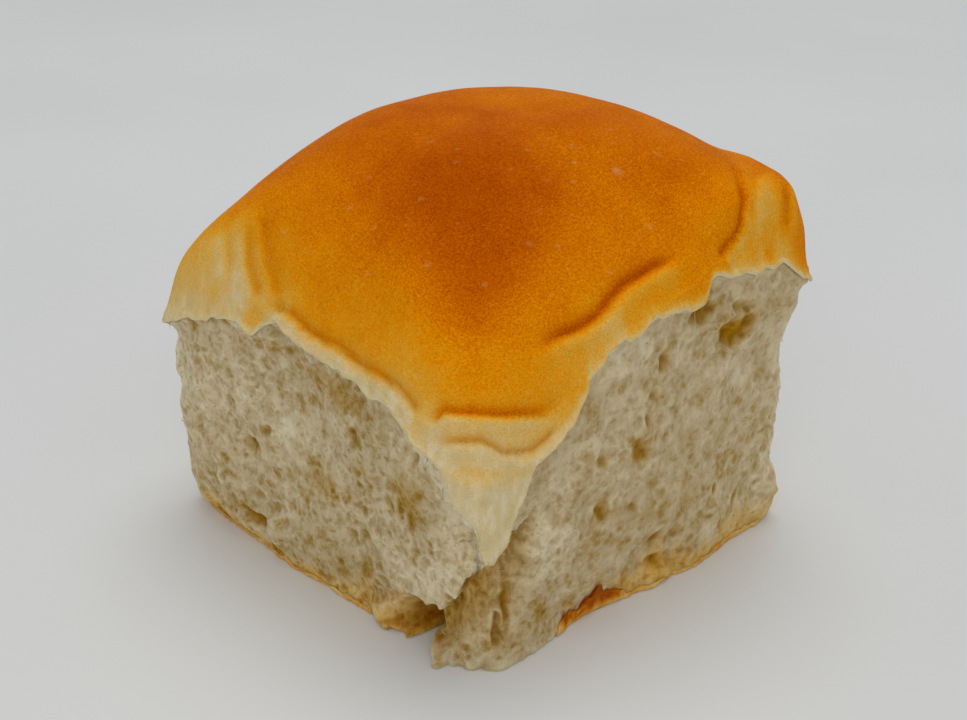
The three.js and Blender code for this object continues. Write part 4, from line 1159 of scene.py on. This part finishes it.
def make_base():
    """A thin browned plate whose ragged edge turns up the wall a little."""
    angles = wall_angles({side: BASE_COLUMNS for side in range(4)})
    side, along = side_at(angles)
    girth = side * SIDE_LENGTH + (along + 1) * BASE_HALF
    profile = side_profile(girth, BASE_RISE)
    rise = np.maximum(profile, BASE_LEAST)
    rim = torn_rim(angles)
    outward = unit(wall_points(angles, BASE_FACING / rim) * [1, 1, 0])
    flap = ease((rise - BASE_FLAP["from"]) / BASE_FLAP["over"])
    tucked = BASE_TUCKED["depth"] * (1 - base_shows(profile))
    length, share = BASE_RAGGED
    ragged = 1 + share * waves(girth, 0 * girth, 0 * girth, length, seed=57)

    def ring_at(share, out, low=0.0):
        height = np.maximum(rise * share, low)
        length, size = BASE_ROUGH
        rough = size * waves(girth, height, 0 * girth, length, seed=58) * (share > 0) * (out > 0)
        ring = wall_points(angles, np.maximum(height, BASE_LOWEST) / rim)
        ring += outward * (out * ragged + rough - tucked)[:, None]
        ring[:, 2] = height
        return ring

    work = Patchwork()
    plate = BASE_BAKE["plate"]
    foot = ring_at(*BASE_EDGE[0])
    rings = [work.add_points(foot * share, bake=plate) for share in BASE_SHARES[::-1]]
    for share, out in BASE_EDGE:
        lean = out + BASE_FLAP["lean"] * flap * share * (out >= 0)
        low = BASE_PLATE if out < 0 < share else 0.0
        browned = flap * (side == 0) * ease(BASE_BAKE["rise"] * share - BASE_BAKE["from"])
        bake = BASE_BAKE["edge"] + BASE_BAKE["flap"] * browned
        rings.append(work.add_points(ring_at(share, lean, low), bake=bake))
    for share in BASE_SHARES:
        rings.append(work.add_points(foot * share + [0, 0, BASE_PLATE], bake=plate))
    work.add_sheet(np.stack(rings), (0.01, 0.01, 0.99, 0.75), wrap=True)
    low = work.add_points([[0, 0, 0]], bake=plate)[0]
    high = work.add_points([[0, 0, BASE_PLATE]], bake=plate)[0]
    work.add_fan(rings[0], low, (0.2, 0.88), 0.1, flip=True)
    work.add_fan(rings[-1], high, (0.6, 0.88), 0.1)
    return work.build("base_crust")


# ---------------------------------------------------------------- materials

def srgb(r, g, b):
    """A colour given as it looks on a screen, from 0 to 255, as the linear numbers that shaders use."""
    def linear(c):
        c /= 255
        return c / 12.92 if c <= 0.04045 else ((c + 0.055) / 1.055) ** 2.4
    return (linear(r), linear(g), linear(b), 1.0)


# Colour ramps, from pale to dark: (place on the ramp, red, green, blue).
CRUST_COLOURS = [
    (0.00, 236, 216, 168),
    (0.08, 238, 204, 134),
    (0.16, 242, 190, 88),
    (0.25, 245, 172, 42),
    (0.36, 247, 157, 8),
    (0.48, 240, 138, 0),
    (0.62, 224, 118, 0),
    (0.78, 207, 98, 0),
    (1.00, 180, 74, 0),
]
# the crumb's darker colours are mostly painted shade in its cells, cavities and hollows
CRUMB_COLOURS = [
    (0.00, 236, 222, 188),
    (0.25, 217, 200, 162),
    (0.50, 196, 173, 132),
    (0.75, 175, 144, 80),
    (1.00, 154, 116, 36),
]
TOAST_COLOURS = [
    (0.00, 240, 210, 136),
    (0.35, 224, 178, 78),
    (0.65, 200, 142, 36),
    (1.00, 156, 100, 10),
]
BASE_COLOURS = [
    (0.10, 230, 196, 124),
    (0.30, 220, 164, 66),
    (0.50, 210, 126, 14),
    (0.75, 170, 80, 0),
]
TABLE_COLOURS = [(0.3, 226, 227, 226), (0.7, 233, 234, 233)]

# Grains of a surface: (how far each shifts its tone, how many in a metre, detail, roughness of the detail).
CRUST_GRAINS = {
    "mottle": (0.1, 420, 4, 0.55),
    "grain": (0.44, 2100, 3, 0.7),
    # this grain also places the painted glints
    "glint_grain": (0.44, 4200, 1, 0.55),
}
CRUMB_GRAINS = {
    "broad": (0.42, 110, 2, 0.55),
    "middling": (0.62, 420, 2, 0.45),
    "fine": (0.2, 1700, 4, 0.65),
}
BASE_GRAINS = {
    "broad": (0.4, 160, 4, 0.55),
    "middling": (0.7, 600, 2, 0.55),
    "fine": (0.3, 1300, 3, 0.55),
}
CRUST_BAKED = (1.7, 0.1)  # brown crust is grainier than pale crust: (with the browning, everywhere)

# Their relief: (metres, strength).
CRUST_RELIEF = {"grain": (0.00016, 0.9), "mottle": (0.0003, 0.45)}
CRUMB_RELIEF = 0.00006
BASE_RELIEF = (0.00012, 0.7)

# How far each mark covers the crust, and its colour.
CRUST_MARKS = {
    # painted glints: pale specks that stand for small highlights on the crust's grain
    "painted_glints": (0.4, srgb(250, 190, 90)),
    "blisters": (0.38, srgb(240, 180, 110)),
    # painted shade that darkens the fold valleys
    "painted_crease_shade": (0.5, srgb(215, 180, 100)),
    "dark_streaks": (0.3, srgb(196, 160, 92)),
    "light_streaks": (0.5, srgb(250, 242, 218)),
    "torn_edge": (1.0, srgb(240, 222, 172)),
}
# the painted glints come up where their grain is high
GLINTS_OVER = (0.7, 5.0)  # where they begin in their grain, and how steeply they come up from there
STREAKS = (620, 4, 0.6)  # (how many in a metre, detail, roughness of the detail)
STREAK_STRETCH = (1.0, 1.0, 0.42)  # they run down the sides
DARK_UNDER = (0.56, 4.5)
LIGHT_OVER = (0.52, 5.0)
PALE_FADE = 6.0  # and the streaks fade out as the crust browns
CRUST_GLOSS = (0.25, 0.40)  # roughness: (how much it varies, its least)

# How far each darkens the crumb, painted shade in cavities, cells and hollows; a film over it makes it look
# paler.
CRUMB_SHADE_AND_FILM = {"surface": 0.33, "cavity": 0.16, "cell": 0.25, "film": 0.26, "hollow": 0.35}
# the small cells are darkened in their middles, painted shade
LACE = [(520.0, 0.27), (1000.0, 0.25), (2000.0, 0.12)]  # layers of small cells: (cells in a metre, weight)
LACE_OPEN = (0.3, 2.5)  # the share of the small cells that is shut, and how steeply the others open
LACE_WALL = 3.2  # how steeply a cell deepens from its wall
LACE_WARP = {"Scale": 900.0, "Detail": 2.0}  # the noise that pulls the small cells out of round
LACE_PULL = 0.0011  # and how far, in metres
# painted golden shade in the torn hollows
HOLLOW_SHADE_COLOUR = srgb(240, 208, 50)
TOAST_PATCHY = 0.35  # the golden foot is patchy, and at least this golden
CRUMB_GLOW = 0.85  # share of the light that travels on inside the crumb
GLOW_RADIUS = (1.0, 0.96, 0.84)
GLOW_REACH = 0.0022  # metres

BASE_TONE = (0.55, 0.12)  # (how much darker where it is browned, its palest)
TABLE_CLOUDS = (6, 3)  # (how many in a metre, detail)


class Nodes:
    """Short ways to place and join shader nodes."""

    def __init__(self, tree):
        self.tree = tree
        self.tree.nodes.clear()

    def add(self, kind, inputs=None, **settings):
        node = self.tree.nodes.new(kind)
        for name, value in settings.items():
            setattr(node, name, value)
        for name, value in (inputs or {}).items():
            self.feed(node.inputs[name], value)
        return node

    def feed(self, socket, value):
        if isinstance(value, bpy.types.NodeSocket):
            self.tree.links.new(value, socket)
        else:
            socket.default_value = value

    def value(self, name):
        return self.add("ShaderNodeAttribute", attribute_name=name).outputs["Fac"]
    def place(self):
        return self.add("ShaderNodeTexCoord").outputs["Object"]

    def math(self, operation, a, b, clamp=False):
        return self.add("ShaderNodeMath", {0: a, 1: b}, operation=operation, use_clamp=clamp).outputs[0]

    def plus(self, a, b, clamp=False):
        return self.math("ADD", a, b, clamp)

    def minus(self, a, b, clamp=False):
        return self.math("SUBTRACT", a, b, clamp)

    def times(self, a, b, clamp=False):
        return self.math("MULTIPLY", a, b, clamp)

    def vector(self, operation, inputs):
        return self.add("ShaderNodeVectorMath", inputs, operation=operation).outputs[0]

    def noise(self, vector, scale, detail=4.0, roughness=0.55):
        inputs = {"Vector": vector, "Scale": scale, "Detail": detail, "Roughness": roughness}
        return self.add("ShaderNodeTexNoise", inputs).outputs["Fac"]

    def over(self, value, start, steepness):
        """How far a value is over its start, from 0 to 1."""
        return self.times(self.minus(value, start), steepness, clamp=True)

    def mottle(self, tone, place, grain, share=None):
        """Places the mottling group: the tone with a share of a grain added to it, and its noise."""
        amount, scale, detail, roughness = grain
        if share is not None:
            amount = self.times(share, amount)
        inputs = {"Tone": tone, "Place": place, "Amount": amount, "Scale": scale, "Detail": detail,
                  "Roughness": roughness}
        mottled = self.add("ShaderNodeGroup", inputs, node_tree=MOTTLING).outputs
        return mottled["Tone"], mottled["Noise"]

    def open_cells(self, vector, scale):
        """1 in the middle of an open cell and 0 at its wall, with some cells shut."""
        cell = {"Vector": vector, "Scale": scale}
        edge = self.add("ShaderNodeTexVoronoi", cell, feature="DISTANCE_TO_EDGE").outputs["Distance"]
        dice = self.add("ShaderNodeTexVoronoi", cell, feature="F1").outputs["Color"]
        return self.times(self.times(edge, LACE_WALL, clamp=True), self.over(dice, *LACE_OPEN))

    def ramp(self, fac, stops):
        node = self.add("ShaderNodeValToRGB", {"Fac": fac})
        elements = node.color_ramp.elements
        while len(elements) > 1:
            elements.remove(elements[-1])
        for number, (place, *colour) in enumerate(stops):
            element = elements[0] if number == 0 else elements.new(place)
            element.position = place
            element.color = srgb(*colour)
        return node.outputs["Color"]

    def blend(self, fac, a, b, kind="MIX"):
        node = self.add("ShaderNodeMix", data_type="RGBA", blend_type=kind, clamp_factor=True)
        for socket, value in ((node.inputs[0], fac), (node.inputs[6], a), (node.inputs[7], b)):
            self.feed(socket, value)
        return node.outputs[2]

    def bump(self, height, distance, strength=1.0, normal=None):
        inputs = {"Height": height, "Distance": distance, "Strength": strength}
        if normal is not None:
            inputs["Normal"] = normal
        return self.add("ShaderNodeBump", inputs).outputs["Normal"]


def new_group(name, inputs, outputs):
    """An empty node group with these sockets, each given with its kind, and their ends inside it."""
    tree = bpy.data.node_groups.new(name, "ShaderNodeTree")
    for in_out, sockets in (("INPUT", inputs), ("OUTPUT", outputs)):
        for socket, kind in sockets.items():
            tree.interface.new_socket(name=socket, in_out=in_out, socket_type=kind)
    nodes = Nodes(tree)
    return tree, nodes, nodes.add("NodeGroupInput").outputs, nodes.add("NodeGroupOutput").inputs


NUMBER = "NodeSocketFloat"
VECTOR = "NodeSocketVector"
COLOUR = "NodeSocketColor"


def mottling_group():
    """The unevenness of every baked and torn surface: a noise, centred on its middle, added to a tone."""
    inputs = {"Tone": NUMBER, "Place": VECTOR, "Amount": NUMBER, "Scale": NUMBER, "Detail": NUMBER,
              "Roughness": NUMBER}
    tree, nodes, given, result = new_group("mottling", inputs, {"Tone": NUMBER, "Noise": NUMBER})
    noise = nodes.noise(given["Place"], given["Scale"], given["Detail"], given["Roughness"])
    shift = nodes.times(nodes.minus(noise, 0.5), given["Amount"])
    nodes.feed(result["Tone"], nodes.plus(given["Tone"], shift))
    nodes.feed(result["Noise"], noise)
    return tree


def open_crumb_group():
    """The torn crumb: its colour, with painted shade in its hollows and golden at the foot by Toasting, and
    its finest relief, by Tearing.
    """
    inputs = {"Toasting": NUMBER, "Tearing": NUMBER}
    tree, nodes, given, result = new_group("open_crumb", inputs, {"Colour": COLOUR, "Normal": VECTOR})
    place = nodes.place()
    wander = nodes.add("ShaderNodeTexNoise", dict(LACE_WARP, Vector=place))
    centred = nodes.vector("SUBTRACT", {0: wander.outputs["Color"], 1: (0.5, 0.5, 0.5)})
    offset = nodes.vector("SCALE", {0: centred, 3: LACE_PULL})
    torn = nodes.vector("ADD", {0: place, 1: offset})
    # the colour's depth: painted shade in cavities, cells and hollows, and paler under a film
    depth = nodes.plus(nodes.times(nodes.value("cavity"), CRUMB_SHADE_AND_FILM["cavity"]), CRUMB_SHADE_AND_FILM["surface"])
    lacy = nodes.value("lacy")
    for scale, weight in LACE:
        depth = nodes.plus(depth, nodes.times(nodes.open_cells(torn, scale), nodes.times(lacy, weight)))
    depth = nodes.plus(depth, nodes.times(nodes.value("cell"), CRUMB_SHADE_AND_FILM["cell"]))
    depth, broad = nodes.mottle(depth, place, CRUMB_GRAINS["broad"])
    depth, _ = nodes.mottle(depth, place, CRUMB_GRAINS["middling"])
    depth, fine = nodes.mottle(depth, place, CRUMB_GRAINS["fine"], lacy)
    depth = nodes.minus(depth, nodes.times(nodes.value("veil"), CRUMB_SHADE_AND_FILM["film"]))
    depth = nodes.plus(depth, nodes.times(nodes.value("hollow"), CRUMB_SHADE_AND_FILM["hollow"]))
    colour = nodes.ramp(depth, CRUMB_COLOURS)
    # painted golden shade in the torn hollows
    colour = nodes.blend(nodes.value("hollow"), colour, HOLLOW_SHADE_COLOUR, "MULTIPLY")
    toast = nodes.times(nodes.value("toast"), nodes.plus(broad, TOAST_PATCHY), clamp=True)
    toast = nodes.times(toast, given["Toasting"])
    nodes.feed(result["Colour"], nodes.blend(toast, colour, nodes.ramp(depth, TOAST_COLOURS)))
    nodes.feed(result["Normal"], nodes.bump(fine, CRUMB_RELIEF, given["Tearing"]))
    return tree


MOTTLING = mottling_group()
OPEN_CRUMB = open_crumb_group()


def new_material(name, finish):
    """A material whose finish is set on the sockets of its own shader."""
    material = bpy.data.materials.new(name)
    material.use_nodes = True
    nodes = Nodes(material.node_tree)
    shader = nodes.add("ShaderNodeBsdfPrincipled", finish)
    nodes.add("ShaderNodeOutputMaterial", {"Surface": shader.outputs["BSDF"]})
    return material, nodes, shader


def crust_material():
    finish = {"Specular IOR Level": 0.014, "Specular Tint": srgb(255, 190, 90)}
    material, nodes, shader = new_material("baked_crust", finish)
    place = nodes.place()
    brown = nodes.value("brown")
    more, always = CRUST_BAKED
    baked = nodes.plus(nodes.times(brown, more), always, clamp=True)
    tone, mottle = nodes.mottle(brown, place, CRUST_GRAINS["mottle"])
    tone, grain = nodes.mottle(tone, place, CRUST_GRAINS["grain"], baked)
    tone, glint_grain = nodes.mottle(tone, place, CRUST_GRAINS["glint_grain"], baked)
    streaks = nodes.noise(nodes.vector("MULTIPLY", {0: place, 1: STREAK_STRETCH}), *STREAKS)
    pale = nodes.minus(1.0, nodes.times(brown, PALE_FADE), clamp=True)
    start, steepness = DARK_UNDER
    dark = nodes.times(nodes.minus(start, streaks), steepness, clamp=True)
    marks = {
        # painted glints on the grain, where the crust is baked
        "painted_glints": nodes.times(nodes.over(glint_grain, *GLINTS_OVER), baked),
        "blisters": nodes.value("blister"),
        # painted shade in the fold valleys
        "painted_crease_shade": nodes.value("crease_shade"),
        "dark_streaks": nodes.times(dark, pale),
        "light_streaks": nodes.times(nodes.over(streaks, *LIGHT_OVER), pale),
        "torn_edge": nodes.value("edge"),
    }
    colour = nodes.ramp(tone, CRUST_COLOURS)
    for name, shown in marks.items():
        share, mark_colour = CRUST_MARKS[name]
        kind = "MULTIPLY" if name == "painted_crease_shade" else "MIX"
        colour = nodes.blend(nodes.times(shown, share), colour, mark_colour, kind)
    varies, least = CRUST_GLOSS
    nodes.feed(shader.inputs["Base Color"], colour)
    nodes.feed(shader.inputs["Roughness"], nodes.plus(nodes.times(mottle, varies), least))
    normal = nodes.bump(nodes.plus(grain, glint_grain), *CRUST_RELIEF["grain"])
    nodes.feed(shader.inputs["Normal"], nodes.bump(mottle, *CRUST_RELIEF["mottle"], normal))
    return material


def crumb_material(name, glow, toasting, tearing):
    """The open crumb. glow is how much light travels inside it, which thin wisps have none of."""
    finish = {"Roughness": 0.9, "Specular IOR Level": 0.04, "Subsurface Weight": glow,
              "Subsurface Radius": GLOW_RADIUS, "Subsurface Scale": GLOW_REACH}
    material, nodes, shader = new_material(name, finish)
    inputs = {"Toasting": toasting, "Tearing": tearing}
    crumb = nodes.add("ShaderNodeGroup", inputs, node_tree=OPEN_CRUMB).outputs
    nodes.feed(shader.inputs["Base Color"], crumb["Colour"])
    nodes.feed(shader.inputs["Normal"], crumb["Normal"])
    return material


def base_material():
    material, nodes, shader = new_material("browned_base", {"Roughness": 0.7, "Specular IOR Level": 0.06})
    place = nodes.place()
    darker, palest = BASE_TONE
    tone = nodes.plus(nodes.times(nodes.value("bake"), darker), palest)
    tone, _ = nodes.mottle(tone, place, BASE_GRAINS["broad"])
    tone, _ = nodes.mottle(tone, place, BASE_GRAINS["middling"])
    tone, fine = nodes.mottle(tone, place, BASE_GRAINS["fine"])
    nodes.feed(shader.inputs["Base Color"], nodes.ramp(tone, BASE_COLOURS))
    nodes.feed(shader.inputs["Normal"], nodes.bump(fine, *BASE_RELIEF))
    return material


def floor_material():
    material, nodes, shader = new_material("pale_table", {"Roughness": 0.45, "Specular IOR Level": 0.3})
    cloud = nodes.noise(nodes.place(), *TABLE_CLOUDS)
    colour = nodes.ramp(cloud, TABLE_COLOURS)
    nodes.feed(shader.inputs["Base Color"], colour)
    return material


# ---------------------------------------------------------------- stage, light and camera

CAMERA_PLACE = (133.317, -118.644, 114.013)  # mm
CAMERA_TARGET = (-6.860, 5.193, 20.0)  # mm
FRAME_WIDTH = 967
FOCAL_PIXELS = 1400
SENSOR = 36.0
NEAREST_SEEN = 0.01  # metres

TABLE_HALF = 3.0  # metres
TABLE_DROP = 0.00002  # metres, which keeps its face clear of the roll's own flat face

# Lights: a soft panel overhead and a window beside the near corner. Places in metres, power in watts.
LIGHTS = [
    {"name": "ceiling_panel", "place": (-0.15, 0.25, 1.1), "power": 4.0, "colour": (1.0, 0.99, 0.97)},
    {"name": "window_side", "place": (0.75, -0.72, 0.75), "power": 3.2, "colour": (1.0, 0.99, 0.96)},
]
LIGHT_SIZE = 0.9
LIGHT_TARGET = (0, 0, 0.03)
ROOM_LIGHT = {"colour": (0.95, 0.97, 1.0, 1), "strength": 0.42}


def set_stage():
    mesh = bpy.data.meshes.new("table")
    corners = [(-TABLE_HALF, -TABLE_HALF, 0), (TABLE_HALF, -TABLE_HALF, 0), (TABLE_HALF, TABLE_HALF, 0),
               (-TABLE_HALF, TABLE_HALF, 0)]
    mesh.from_pydata(corners, [], [(0, 1, 2, 3)])
    mesh.materials.append(floor_material())
    table = bpy.data.objects.new("table", mesh)
    table.location.z = -TABLE_DROP
    bpy.context.scene.collection.objects.link(table)


def set_lights():
    for soft in LIGHTS:
        light = bpy.data.lights.new(soft["name"], "AREA")
        light.shape = "DISK"
        light.size = LIGHT_SIZE
        light.energy = soft["power"]
        light.color = soft["colour"]
        lamp = bpy.data.objects.new(soft["name"], light)
        lamp.location = soft["place"]
        facing = Vector(LIGHT_TARGET) - Vector(soft["place"])
        lamp.rotation_euler = facing.to_track_quat("-Z", "Y").to_euler()
        bpy.context.scene.collection.objects.link(lamp)
    world = bpy.data.worlds.new("room")
    world.use_nodes = True
    background = world.node_tree.nodes["Background"]
    background.inputs["Color"].default_value = ROOM_LIGHT["colour"]
    background.inputs["Strength"].default_value = ROOM_LIGHT["strength"]
    bpy.context.scene.world = world
    bpy.context.scene.view_settings.view_transform = "Standard"


def set_camera():
    camera = bpy.data.cameras.new("camera")
    camera.sensor_width = SENSOR
    camera.lens = SENSOR * FOCAL_PIXELS / FRAME_WIDTH
    camera.clip_start = NEAREST_SEEN
    eye = bpy.data.objects.new("camera", camera)
    eye.location = Vector(CAMERA_PLACE) * MM
    looking = Vector(CAMERA_TARGET) - Vector(CAMERA_PLACE)
    eye.rotation_euler = looking.to_track_quat("-Z", "Y").to_euler()
    bpy.context.scene.collection.objects.link(eye)
    bpy.context.scene.camera = eye


# ---------------------------------------------------------------- the roll

def place_piece(piece, material):
    piece.data.materials.append(material)
    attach(piece, "root")
    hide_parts(NODE)


place_piece(make_crust(), crust_material())
wall, outward, wall_values = crumb_wall()
torn_crumb = crumb_material("torn_crumb", CRUMB_GLOW, toasting=0.8, tearing=0.6)
place_piece(make_crumb(wall, wall_values), torn_crumb)
torn_wisps = crumb_material("torn_wisps", 0.0, toasting=0.8, tearing=0.6)
place_piece(make_shreds(wall, outward, wall_values), torn_wisps)
place_piece(make_base(), base_material())
set_stage()
set_lights()
set_camera()
